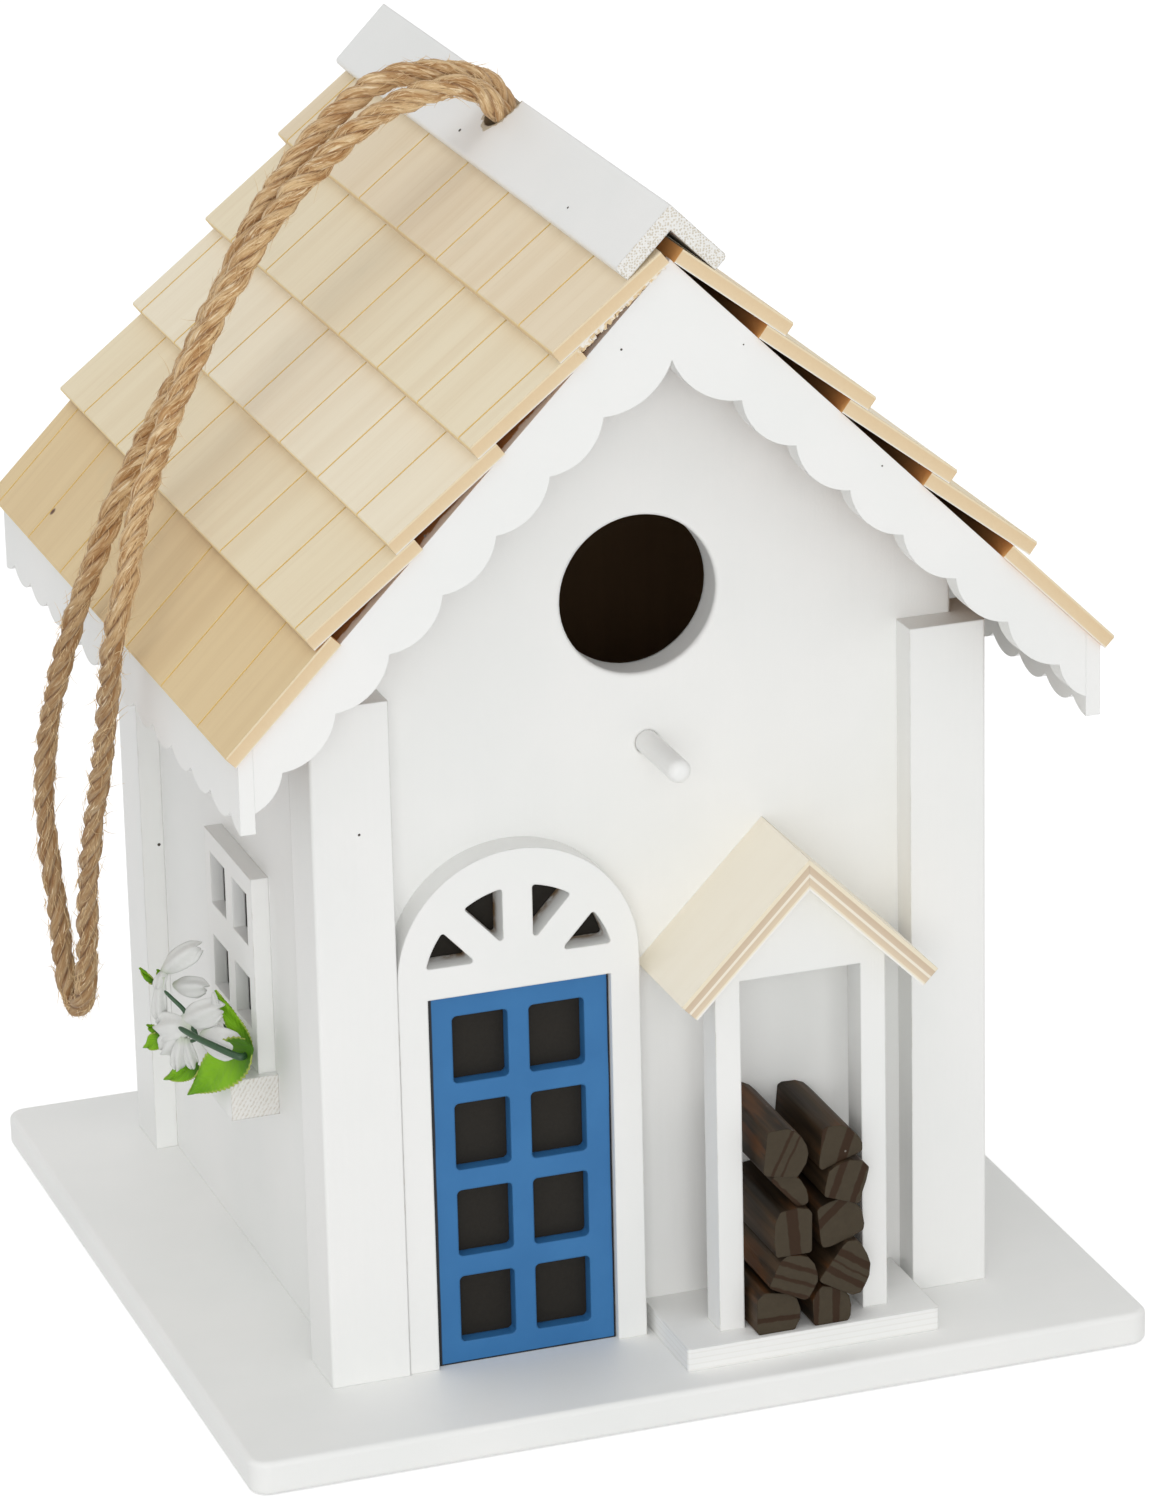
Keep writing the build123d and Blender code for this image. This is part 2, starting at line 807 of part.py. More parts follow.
with BuildPart() as porch_frame:
    with BuildSketch(upright(porch_y)):
        with BuildLine():
            Polyline(
                (porch_x - frame_half, step_z),
                (porch_x + frame_half, step_z),
                (porch_x + frame_half, canopy_under_z - frame_half * tan(pitch)),
                (porch_x, canopy_under_z),
                (porch_x - frame_half, canopy_under_z - frame_half * tan(pitch)),
                close=True,
            )
        make_face()
        with Locations((porch_x, step_z)):
            Rectangle(
                porch_bay,
                bay_top_z - step_z,
                align=(Align.CENTER, Align.MIN),
                mode=Mode.SUBTRACT,
            )
    extrude(amount=-porch_thick)
save(porch_frame, "porch_frame")


def canopy(side):
    with BuildPart() as slab:
        with BuildSketch(upright(front_y - step_depth)):
            with BuildLine():
                low_z = canopy_z - porch_half * tan(pitch)
                under_half = porch_half - canopy_thick * sin(pitch)
                Polyline(
                    (porch_x, canopy_under_z),
                    (porch_x, canopy_z),
                    (porch_x + side * porch_half, low_z),
                    (porch_x + side * under_half, low_z - canopy_thick * cos(pitch)),
                    close=True,
                )
            make_face()
        extrude(amount=-step_depth)
    return slab


save(canopy(-1), "canopy_left")
save(canopy(1), "canopy_right")


# Firewood: split sticks in two loose stacks in the porch bay, ends uneven at the front
def stick(stands_back, outline):
    scale = porch_bay / stick_bay
    corners = [(porch_x + scale * across, step_z + scale * up) for across, up in outline]
    with BuildPart() as log:
        with BuildSketch(upright(front_y - slip_gap)):
            with BuildLine():
                Polyline(*corners, close=True)
            make_face()
            offset(amount=-stick_arris, kind=Kind.INTERSECTION, mode=Mode.REPLACE)
            offset(amount=stick_arris, kind=Kind.ARC, mode=Mode.REPLACE)
        extrude(amount=log_length - stands_back)
    return log


for number, (stands_back, outline) in enumerate(sticks, start=1):
    save(stick(stands_back, outline), f"log_{number}")

# Side windows: four-pane frames glued to the side walls above their planter boxes
window_y = front_y + window_setback
planter_z = floor_z + planter_height
window_width = 2 * window_stile + 2 * pane_width + window_mullion
window_height = window_bottom_rail + 2 * pane_height + window_transom + window_top_rail
panes_z = planter_z + window_bottom_rail + pane_height + window_transom / 2
glass_width = 2 * pane_width + window_mullion + 2 * window_rebate
glass_height = 2 * pane_height + window_transom + 2 * window_rebate


def window_frame(side):
    with BuildPart() as frame:
        with BuildSketch(sideways(side * house_x)):
            with Locations((window_y, planter_z)):
                Rectangle(window_width, window_height, align=(Align.CENTER, Align.MIN))
            with Locations((window_y, panes_z)):
                with GridLocations(pane_width + window_mullion, pane_height + window_transom, 2, 2):
                    Rectangle(pane_width, pane_height, mode=Mode.SUBTRACT)
        extrude(amount=side * window_thick)
        with BuildSketch(sideways(side * house_x)):
            with Locations((window_y, panes_z)):
                Rectangle(glass_width, glass_height)
        extrude(amount=side * window_backing, mode=Mode.SUBTRACT)
    return frame


def window_glass(side):
    with BuildPart() as sheet:
        with BuildSketch(sideways(side * house_x)):
            with Locations((window_y, panes_z)):
                Rectangle(glass_width - 2 * slip_gap, glass_height - 2 * slip_gap)
        extrude(amount=side * (window_backing - glue_gap))
    return sheet


save(window_frame(-1), "window_left")
save(window_frame(1), "window_right")
save(window_glass(-1), "window_backing_left")
save(window_glass(1), "window_backing_right")

# Flowers: a wired stem stands in a socket bored in each planter, with leaves and blossoms set on it
root = Vector(-house_x - 0.65 * planter_depth, window_y - 0.22 * planter_length, planter_z)
fork = root + Vector(-0.33, 0.33, 0.29) * stem_reach
knee = root + Vector(-0.67, 1.0, 0.33) * stem_reach
socket_depth = 0.6 * planter_thick
blossoms = [
    (knee, knee + Vector(0, 0.12, 0.92) * stem_reach, Vector(-0.4, -0.3, 0.9), petal_size),
    (fork, fork + Vector(-0.17, -0.08, 0.54) * stem_reach, Vector(-0.7, -0.5, 0.5), 0.8 * petal_size),
]
leaves = [
    (fork, Vector(0.19, -0.94, 0.28), Vector(-0.9, -0.1, 0.4), 1.3),
    (fork, Vector(-0.35, 0.23, -0.9), Vector(-0.9, -0.3, 0.3), 0.85),
    (knee, Vector(-0.26, 0.91, -0.32), Vector(-0.6, -0.4, 0.7), 0.8),
    (knee, Vector(-0.22, 0.37, -0.9), Vector(-0.9, -0.5, 0), 0.8),
]


def planter(side):
    with BuildPart() as box:
        with BuildSketch(Plane.XY.offset(planter_z - planter_thick)):
            with Locations((side * (house_x + planter_depth / 2), window_y)):
                Rectangle(planter_depth, planter_length)
        extrude(amount=planter_thick)
        with Locations((-side * root.X, root.Y, planter_z)):
            Hole(stem_dia / 2 + glue_gap, depth=socket_depth)
    return box


save(planter(-1), "window_box_left")
save(planter(1), "window_box_right")


def rod(start, end):
    """Round wire between two points, with a ball at its far end so that the next one joins it."""
    with Locations(Plane(origin=start, z_dir=end - start).location):
        Cylinder(stem_dia / 2, (end - start).length, align=(Align.CENTER, Align.CENTER, Align.MIN))
    with Locations(end):
        Sphere(stem_dia / 2)


with BuildPart() as flower_stems:
    collar = root + Vector(0, 0, stem_dia)
    rod(root - Vector(0, 0, socket_depth - slip_gap), collar)
    rod(collar, fork)
    rod(fork, knee)
    for start, tip, facing, size in blossoms:
        rod(start, tip)
    for start, along, facing, size in leaves:
        length = size * leaf_length
        width = size * leaf_width
        square = facing - along * (facing.dot(along) / along.dot(along))
        with BuildSketch(Plane(origin=start, x_dir=along, z_dir=square)):
            with BuildLine():
                ThreePointArc((0, 0), (length / 2, width / 2), (length, 0))
                ThreePointArc((length, 0), (length / 2, -width / 2), (0, 0))
            make_face()
        extrude(amount=leaf_thick / 2, both=True)
    mirror(about=Plane.YZ)
save(flower_stems, "flower_stems")

with BuildPart() as flower_blossoms:
    for start, tip, facing, size in blossoms:
        seat = tip + facing.normalized() * (stem_dia / 2 + slip_gap)
        with BuildSketch(Plane(origin=seat, z_dir=facing)):
            Circle(size)
            with PolarLocations(1.2 * size, 5):
                Circle(0.9 * size)
        extrude(amount=petal_thick)
    mirror(about=Plane.YZ)
save(flower_blossoms, "flower_blossoms")
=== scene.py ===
"""The birdhouse as it looks: thin white paint, raw shingles, split sticks, jute rope and cloth flowers.

Metres, in the frame's own axes: X is the width, the front faces -Y, Z is up.
"""

import math
import random

import bmesh
import bpy
from mathutils import Matrix, Quaternion, Vector


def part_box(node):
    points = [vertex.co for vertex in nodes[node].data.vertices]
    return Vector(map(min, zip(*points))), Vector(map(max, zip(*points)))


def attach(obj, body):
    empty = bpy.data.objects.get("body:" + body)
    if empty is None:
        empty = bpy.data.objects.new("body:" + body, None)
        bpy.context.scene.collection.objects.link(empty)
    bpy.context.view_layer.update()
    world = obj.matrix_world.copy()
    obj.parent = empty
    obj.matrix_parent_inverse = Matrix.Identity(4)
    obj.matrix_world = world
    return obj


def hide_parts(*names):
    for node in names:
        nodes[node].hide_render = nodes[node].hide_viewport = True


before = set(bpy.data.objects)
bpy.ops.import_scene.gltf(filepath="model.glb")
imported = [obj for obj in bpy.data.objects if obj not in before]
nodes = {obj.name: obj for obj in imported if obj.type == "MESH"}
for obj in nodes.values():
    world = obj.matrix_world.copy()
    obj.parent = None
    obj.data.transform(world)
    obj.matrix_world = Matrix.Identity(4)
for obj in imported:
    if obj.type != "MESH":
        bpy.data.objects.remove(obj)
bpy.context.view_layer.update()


# Base board. One sawn board carries the house, which is glued up bare and then sprayed white.
# The paint is thin: the grain lifts it, edges rub through, and inside the walls the wood is raw.
def srgb(red, green, blue):
    """A colour as a screen shows it, 0 to 255, as the linear colour that a shader takes."""
    shares = [c / 255 for c in (red, green, blue)]
    linear = [s / 12.92 if s <= 0.04045 else ((s + 0.055) / 1.055) ** 2.4 for s in shares]
    return (*linear, 1.0)


def add_node(tree, kind, sockets=None, **settings):
    """A shader node with its settings; a socket takes a value, or a link from another node's output."""
    made = tree.nodes.new("ShaderNode" + kind)
    for name, value in settings.items():
        setattr(made, name, value)
    for name, value in (sockets or {}).items():
        if isinstance(value, bpy.types.NodeSocket):
            tree.links.new(value, made.inputs[name])
        else:
            made.inputs[name].default_value = value
    return made


def math_of(tree, what, first, second=0.0):
    return add_node(tree, "Math", {0: first, 1: second}, operation=what).outputs[0]


def times(tree, first, second):
    return math_of(tree, "MULTIPLY", first, second)


def axes_of(tree, vector):
    """A vector's X, Y and Z, each by its name."""
    return add_node(tree, "SeparateXYZ", {0: vector}).outputs


def along_of(tree, vector, direction):
    """How far a vector reaches along a direction."""
    return add_node(tree, "VectorMath", {0: vector, 1: direction}, operation="DOT_PRODUCT").outputs["Value"]


def step_of(tree, value, low, high):
    """0 where the value is below low and 1 where it is above high, with a soft step between."""
    ends = {"Value": value, "From Min": low, "From Max": high}
    return add_node(tree, "MapRange", ends, interpolation_type="SMOOTHSTEP").outputs["Result"]


def mix_colour(tree, share, first, second):
    return add_node(tree, "Mix", {0: share, 6: first, 7: second}, data_type="RGBA").outputs[2]


def noise_of(tree, vector, scale, detail=3.0, roughness=0.55):
    settings = {"Vector": vector, "Scale": scale, "Detail": detail, "Roughness": roughness}
    return add_node(tree, "TexNoise", settings).outputs["Fac"]


def place_of(tree):
    return add_node(tree, "TexCoord").outputs["Object"]


def normal_of(tree):
    return add_node(tree, "NewGeometry").outputs["True Normal"]


def new_finish(name, roughness):
    finish = bpy.data.materials.new(name)
    finish.use_nodes = True
    shader = finish.node_tree.nodes["Principled BSDF"]
    shader.inputs["Roughness"].default_value = roughness
    return finish, finish.node_tree, shader


def lay_on(tree, shader, colour, layers, edge=0.0):
    """A colour, and bump from layers of (height, depth in metres) over edges rounded by a small radius."""
    tree.links.new(colour, shader.inputs["Base Color"])
    normal = add_node(tree, "Bevel", {"Radius": edge}, samples=6).outputs["Normal"] if edge else None
    for height, depth in layers:
        sockets = {"Height": height, "Distance": depth, "Strength": 1.0}
        if normal:
            sockets["Normal"] = normal
        normal = add_node(tree, "Bump", sockets).outputs["Normal"]
    tree.links.new(normal, shader.inputs["Normal"])


def stretched(tree, place, grain, share=0.05):
    scale = [share if axis == grain else 1.0 for axis in "XYZ"]
    return add_node(tree, "Mapping", {"Vector": place, "Scale": scale}).outputs["Vector"]


edge_radius = 0.0005


def painted(name, grain, lift=1.0, bare=None, wood=srgb(150, 118, 84), edge=edge_radius):
    """White paint on wood with its grain along one axis, lifted by the fibres and rubbed at its edges.

    bare gives the share of the surface that is left raw, in the colour of wood.
    """
    finish, tree, shader = new_finish(name, roughness=0.48)
    place = place_of(tree)
    fibres = noise_of(tree, stretched(tree, place, grain), 520.0)
    spray = noise_of(tree, place, 1500.0, detail=2.0)
    cloud = noise_of(tree, place, 24.0)
    colour = mix_colour(tree, step_of(tree, cloud, 0.3, 0.7), srgb(240, 241, 239), srgb(244, 244, 242))
    rounded = add_node(tree, "Bevel", {"Radius": edge}, samples=6).outputs["Normal"]
    bend = math_of(tree, "SUBTRACT", 1.0, along_of(tree, rounded, normal_of(tree)))
    patch = step_of(tree, noise_of(tree, place, 180.0), 0.5, 0.68)
    rubbed = times(tree, step_of(tree, bend, 0.02, 0.2), patch)
    colour = mix_colour(tree, times(tree, rubbed, 0.45), colour, srgb(205, 196, 178))
    layers = [(fibres, 0.00005 * lift), (spray, 0.000018)]
    if bare:
        share = bare(tree, place)
        streaks = noise_of(tree, stretched(tree, place, grain), 300.0)
        raw = mix_colour(tree, streaks, wood, tuple(0.72 * c for c in wood[:3]) + (1.0,))
        colour = mix_colour(tree, share, colour, raw)
        layers.append((share, -0.00004))
    lay_on(tree, shader, colour, layers, edge)
    return finish


def give(finish, *names):
    for name in names:
        slots = nodes[name].data.materials
        slots.clear()
        slots.append(finish)


base_thick = 0.0070
nest_middle = (0.0, 0.0035, 0.0)
nest_half_width = 0.0585
nest_half_depth = 0.0575
spray_edge = 0.0005


def under_the_house(tree, place):
    """The part of the base's top that the walls close in, with the soft edge of the spray."""
    reach = add_node(tree, "VectorMath", {0: place, 1: nest_middle}, operation="SUBTRACT").outputs[0]
    inside = axes_of(tree, add_node(tree, "VectorMath", {0: reach}, operation="ABSOLUTE").outputs[0])
    across = step_of(tree, inside["X"], nest_half_width + spray_edge, nest_half_width - spray_edge)
    deep = step_of(tree, inside["Y"], nest_half_depth + spray_edge, nest_half_depth - spray_edge)
    top = step_of(tree, axes_of(tree, place)["Z"], base_thick - spray_edge, base_thick - 0.2 * spray_edge)
    return times(tree, times(tree, across, deep), top)


give(painted("base_paint", "X", bare=under_the_house), "base_board")


# Walls. Two gable walls and two side walls of thin board, glued edge to edge round the nest.
# They are sprayed on the outside only, so what shows through the entry hole is dark raw board; the
# hole's rim is sanded round.
def facing(tree, direction):
    """The share of a surface that faces a direction."""
    return step_of(tree, along_of(tree, normal_of(tree), direction), 0.5, 0.75)


def raw_inside(direction):
    return lambda tree, place: facing(tree, direction)


hole_rim = 0.0010
wall_insides = {"front": (0, 1, 0), "back": (0, -1, 0), "left": (1, 0, 0), "right": (-1, 0, 0)}
for side, inward in wall_insides.items():
    edge = hole_rim if side == "front" else edge_radius
    give(painted(f"{side}_wall_paint", "Z", bare=raw_inside(inward), edge=edge), f"{side}_wall")


# Clean-out flap. A board in the back wall hangs on two nails, and a turn button on a round-head
# screw holds it shut. Flap and button are painted with the wall, the nails and the screw are steel.
def mottled(name, first, second, scale, depth, roughness, grain=None, edge=0.0):
    """A plain finish in two tones, in spots or in streaks along the grain, which are its relief too."""
    finish, tree, shader = new_finish(name, roughness)
    place = place_of(tree)
    spots = noise_of(tree, stretched(tree, place, *grain) if grain else place, scale)
    lay_on(tree, shader, mix_colour(tree, spots, first, second), [(spots, depth)], edge)
    return finish, shader


give(painted("flap_paint", "X", bare=raw_inside((0, -1, 0))), "cleanout_door")
give(painted("button_paint", "Z"), "turn_button")
flap_steel, steel_shader = mottled("flap_steel", srgb(176, 174, 170), srgb(140, 137, 132), scale=2600.0,
                                   depth=0.000006, roughness=0.34, grain=("X", 0.1))
steel_shader.inputs["Metallic"].default_value = 1.0
give(flap_steel, "cleanout_pins", "button_screw")


# Corner posts. Planed strips, rabbeted over the corners, glued and pinned; their grain runs
# upright and stands out more than that of the boards.
give(painted("post_paint", "Z", lift=1.7),
     "post_front_left", "post_front_right", "post_back_left", "post_back_right")


# Roof boards. Two bare boards under the shingles, which carry them, the trims and the rope.
# Only their ends show, dark in the gaps of the laps.
roof_wood, _ = mottled("roof_board_wood", srgb(120, 88, 58), srgb(160, 124, 84), scale=260.0,
                       depth=0.0001, roughness=0.8, grain=("Y",), edge=edge_radius)
give(roof_wood, "roof_panel_left", "roof_panel_right")


# Gable and eave trims. Scalloped boards sawn from thin stock, pinned over the ends of the roof
# boards and sprayed with the house. The pins' heads show as small dark dots, and under the shingles
# the spray has only reached the front of the gable trims' upper edges, in a ragged film.
trim_edge = 0.0002
trim_face = 0.0821
film_depth = (0.0036, 0.0044)
film_ragged = 0.0024


def film_end(tree, place):
    """The raw part of a gable trim's upper edge: behind the film on the left, all of it on the right."""
    apart = axes_of(tree, place)
    upper = step_of(tree, axes_of(tree, normal_of(tree))["Z"], 0.5, 0.6)
    ragged = times(tree, noise_of(tree, place, 500.0), film_ragged)
    far_in = math_of(tree, "SUBTRACT", trim_face, math_of(tree, "ABSOLUTE", apart["Y"]))
    far_in = math_of(tree, "ADD", far_in, step_of(tree, apart["X"], 0.0, 0.002))
    return times(tree, upper, step_of(tree, math_of(tree, "ADD", far_in, ragged), *film_depth))


give(painted("gable_trim_paint", "X", bare=film_end, wood=srgb(184, 134, 84), edge=trim_edge),
     "gable_trim_front", "gable_trim_back")
give(painted("eave_trim_paint", "Y", edge=trim_edge), "eave_trim_left", "eave_trim_right")

# Each pin's place, the way its head faces, and its radius.
slope_left = Vector((-1, 0, 1)).normalized()
pin_heads = [
    ((-0.0600, -0.0670, 0.1221), (0, -1, 0), 0.00032),
    ((-0.0100, -0.0815, 0.2166), (0, -1, 0), 0.00028),
    ((0.0143, -0.0815, 0.2147), (0, -1, 0), 0.00018),
    ((0.0421, -0.0815, 0.1874), (0, -1, 0), 0.00022),
    ((-0.0498, -0.0825, 0.1855), (0, -1, 0), 0.00028),
    ((-0.0657, 0.0605, 0.0762), (0, -1, 0), 0.00042),
    ((-0.0085, 0.0173, 0.2351), slope_left, 0.00042),
    ((-0.0083, -0.0476, 0.2353), slope_left, 0.00028),
]
pin_proud = 0.00008
pin_taper = 0.7
pin_mesh = bmesh.new()
for place, outward, radius in pin_heads:
    turn = Vector(outward).to_track_quat("Z", "Y").to_matrix().to_4x4()
    bmesh.ops.create_cone(pin_mesh, cap_ends=True, segments=14, radius1=radius, radius2=pin_taper * radius,
                          depth=2 * pin_proud, matrix=Matrix.Translation(place) @ turn)


def new_piece(name, mesh_builder, finish, smooth=False):
    """A finished mesh as an object of its own, riding on the house."""
    mesh = bpy.data.meshes.new(name)
    mesh_builder.to_mesh(mesh)
    mesh_builder.free()
    mesh.materials.append(finish)
    if smooth:
        mesh.shade_smooth()
    piece = bpy.data.objects.new(name, mesh)
    bpy.context.scene.collection.objects.link(piece)
    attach(piece, "house")
    return piece


pin_steel, _ = mottled("pin_steel", srgb(38, 34, 30), srgb(84, 74, 62), scale=4000.0,
                       depth=0.00002, roughness=0.6)
pins = new_piece("trim_pins", pin_mesh, pin_steel)


# Shingles. Strips of three-ply veneer lapped over each other, scored down the slope so that each
# row looks like single shingles. They are left raw: cream faces, tan cores, brown in the scores. The
# saw has torn the front end of the left top row, and slivers with spray on them hang from it.
def top_face(name):
    """The outward direction of a board's broad upper face, and how far out it lies."""
    mesh = nodes[name].data
    areas = {}
    for face in mesh.polygons:
        if face.normal.z > 0.2:
            key = tuple(round(c, 2) for c in face.normal)
            areas.setdefault(key, [0.0, Vector()])
            areas[key][0] += face.area
            areas[key][1] += face.normal * face.area
    outward = max(areas.values(), key=lambda a: a[0])[1].normalized()
    reach = max(v.co.dot(outward) for v in mesh.vertices)
    return outward, reach


def distance_of(tree, place, point):
    return add_node(tree, "VectorMath", {0: place, 1: point}, operation="DISTANCE").outputs["Value"]


score_tone = srgb(238, 211, 142)
score_depth = (0.0001, 0.00025)
end_clear = (0.0010, 0.0015)
veneer_edge = 0.0002
knot_rim = (0.0016, 0.0010)
knot_wobble = 0.0008


def veneer(name, thick, face, shade, plies, streak, knot=None, lap_tint=None):
    """Raw ply for one board: grain down its slope, plies on its edges, brown in its scores.

    The last argument colours the underside and upper end, which the next row covers: raw wood tinted warm as
    painted bounce light.
    """
    outward, reach = top_face(name)
    down = Vector((0, 1, 0)).cross(outward)
    low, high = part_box(name)
    finish, tree, shader = new_finish(name + "_wood", roughness=0.62)
    place = place_of(tree)
    normal = normal_of(tree)
    depth = math_of(tree, "SUBTRACT", reach, along_of(tree, place, outward))
    upward = step_of(tree, along_of(tree, normal, outward), 0.5, 0.8)
    flat = math_of(tree, "ABSOLUTE", along_of(tree, normal, outward))
    on_edge = math_of(tree, "SUBTRACT", 1.0, step_of(tree, flat, 0.4, 0.6))
    board = add_node(tree, "CombineXYZ", {
        "X": times(tree, along_of(tree, place, down), 0.05),
        "Y": along_of(tree, place, (0, 1, 0)), "Z": depth}).outputs["Vector"]
    fine = noise_of(tree, board, 900.0, detail=4.0)
    broad = noise_of(tree, board, 130.0)
    stain = step_of(tree, noise_of(tree, place, 60.0), 0.62, 0.8)
    colour = mix_colour(tree, times(tree, step_of(tree, broad, 0.35, 0.7), streak), face, shade)
    colour = mix_colour(tree, times(tree, step_of(tree, fine, 0.5, 0.8), 0.8 * streak), colour, shade)
    colour = mix_colour(tree, times(tree, stain, 0.8 * streak), colour, srgb(196, 188, 158))
    if knot:
        wavy = math_of(tree, "ADD", distance_of(tree, place, knot), times(tree, broad, knot_wobble))
        colour = mix_colour(tree, step_of(tree, wavy, *knot_rim), colour, srgb(92, 58, 34))
    colour = mix_colour(tree, times(tree, upward, step_of(tree, depth, *score_depth)), colour, score_tone)
    layer = add_node(tree, "ValToRGB", {"Fac": math_of(tree, "DIVIDE", depth, thick)})
    stops = layer.color_ramp.elements
    layer.color_ramp.interpolation = "EASE"
    for at, tone in plies:
        stop = stops.new(at)
        stop.color = tone
    stops.remove(stops[0])
    stops.remove(stops[-1])
    rough = noise_of(tree, place, 1400.0)
    ply = mix_colour(tree, times(tree, rough, 0.25), layer.outputs["Color"], shade)
    colour = mix_colour(tree, on_edge, colour, ply)
    across = step_of(tree, math_of(tree, "ABSOLUTE", along_of(tree, normal, (0, 1, 0))), 0.5, 0.7)
    from_middle = math_of(tree, "SUBTRACT", along_of(tree, place, (0, 1, 0)), (low.y + high.y) / 2)
    half_long = (high.y - low.y) / 2
    near_end, clear_of_end = (half_long - clear for clear in end_clear)
    within = step_of(tree, math_of(tree, "ABSOLUTE", from_middle), near_end, clear_of_end)
    colour = mix_colour(tree, times(tree, across, within), colour, score_tone)
    # Painted light: the covered underside and upper end are partly raw wood and partly painted with the warm
    # light bounced among the laps.
    if lap_tint:
        upward_end = step_of(tree, along_of(tree, normal, (0, 0, 1)), 0.3, 0.5)
        under = step_of(tree, along_of(tree, normal, outward), -0.5, -0.8)
        covered = math_of(tree, "MAXIMUM", times(tree, on_edge, upward_end), under)
        colour = mix_colour(tree, covered, colour, lap_tint)
    lay_on(tree, shader, colour, [(fine, 0.00003), (times(tree, on_edge, rough), 0.00006)], veneer_edge)
    return finish


shingle_thick = 0.0030
tan = srgb(208, 178, 132)
# Raw wood tinted warmer as painted bounce light under the laps.
lap_bounce_tint = srgb(228, 170, 102)
shingle_plies = [(0.0, srgb(236, 220, 188)), (0.10, srgb(236, 221, 190)), (0.16, srgb(228, 203, 164)),
                 (0.84, srgb(232, 209, 172)), (0.90, srgb(236, 222, 192)), (1.0, srgb(216, 194, 154))]
shingle_rows = {1: (srgb(240, 224, 195), 0.6), 2: (srgb(243, 230, 200), 0.5),
                3: (srgb(248, 237, 212), 0.4), 4: (srgb(243, 229, 197), 0.5), 5: (srgb(231, 207, 162), 0.9)}
branch_knot = (-0.0848, 0.0606, 0.1522)
for side in ("left", "right"):
    for row, (tone, streak) in shingle_rows.items():
        name = f"shingle_{side}_{row}"
        knot = branch_knot if name == "shingle_left_5" else None
        wood = veneer(name, shingle_thick, tone, tan, shingle_plies, 0.35 * streak, knot, lap_bounce_tint)
        give(wood, name)

torn_from = Vector((-0.0012, -0.0824, 0.2318))
torn_to = Vector((-0.0190, -0.0824, 0.2181))
torn_along = (torn_to - torn_from).normalized()
torn_down = Vector((-torn_along.z, 0, torn_along.x))
sliver_count = 120
sliver_root = 0.0003
sliver_short = 0.0004
sliver_long = 0.0018
sliver_thick = 0.00012
torn_dice = random.Random(4)
torn_mesh = bmesh.new()
for number in range(sliver_count):
    share = torn_dice.random()
    root = torn_from.lerp(torn_to, share) - torn_down * sliver_root
    reach = (sliver_short + (sliver_long - sliver_short) * share) * torn_dice.uniform(0.35, 1.0)
    half = torn_along * torn_dice.uniform(0.0003, 0.0008)
    slant = torn_along * torn_dice.uniform(-0.0006, 0.0010)
    lift = Vector((0, torn_dice.uniform(-0.0004, 0.0003), 0))
    tip = root + torn_down * reach + slant + lift
    corners = [root - half, root + half, tip + 0.6 * half, tip - 0.3 * half]
    torn_mesh.faces.new([torn_mesh.verts.new(corner) for corner in corners])


def torn_veneer(name):
    finish, tree, shader = new_finish(name, roughness=0.7)
    spots = noise_of(tree, place_of(tree), 900.0)
    colour = mix_colour(tree, step_of(tree, spots, 0.4, 0.6), srgb(240, 236, 226), srgb(222, 196, 152))
    lay_on(tree, shader, colour, [(spots, 0.0001)])
    return finish


torn = new_piece("torn_veneer", torn_mesh, torn_veneer("torn_veneer"))
sliver = torn.modifiers.new("sliver", "SOLIDIFY")
sliver.thickness = sliver_thick


# Ridge cap. A moulded angle over the top row, sprayed white before its ends were cut, so the ends
# show speckled grain. The rope's hole was bored last and has chipped the paint round its rim.
rope_hole = (0.0, 0.009, 0.0)
chip_reach = (0.0080, 0.0076)
chip_ragged = 0.003


def both_ends(tree):
    """The faces at the front and the back of a piece."""
    return math_of(tree, "ADD", facing(tree, (0, -1, 0)), facing(tree, (0, 1, 0)))


def cap_bare(tree, place):
    """The cut ends, where grain shows in rows of dots, and the chips round the hole."""
    dots = add_node(tree, "TexVoronoi", {"Vector": place, "Scale": 1900.0, "Randomness": 0.6})
    pores = step_of(tree, dots.outputs["Distance"], 0.5, 0.25)
    speckled = times(tree, both_ends(tree), math_of(tree, "ADD", times(tree, pores, 0.6), 0.1))
    apart = axes_of(tree, place)
    flat = add_node(tree, "CombineXYZ", {"X": apart["X"], "Y": apart["Y"]}).outputs["Vector"]
    ragged = times(tree, noise_of(tree, place, 700.0), chip_ragged)
    chipped = step_of(tree, math_of(tree, "ADD", distance_of(tree, flat, rope_hole), ragged), *chip_reach)
    return math_of(tree, "MAXIMUM", speckled, chipped)


give(painted("cap_paint", "Y", bare=cap_bare, wood=srgb(208, 194, 166)), "ridge_cap")


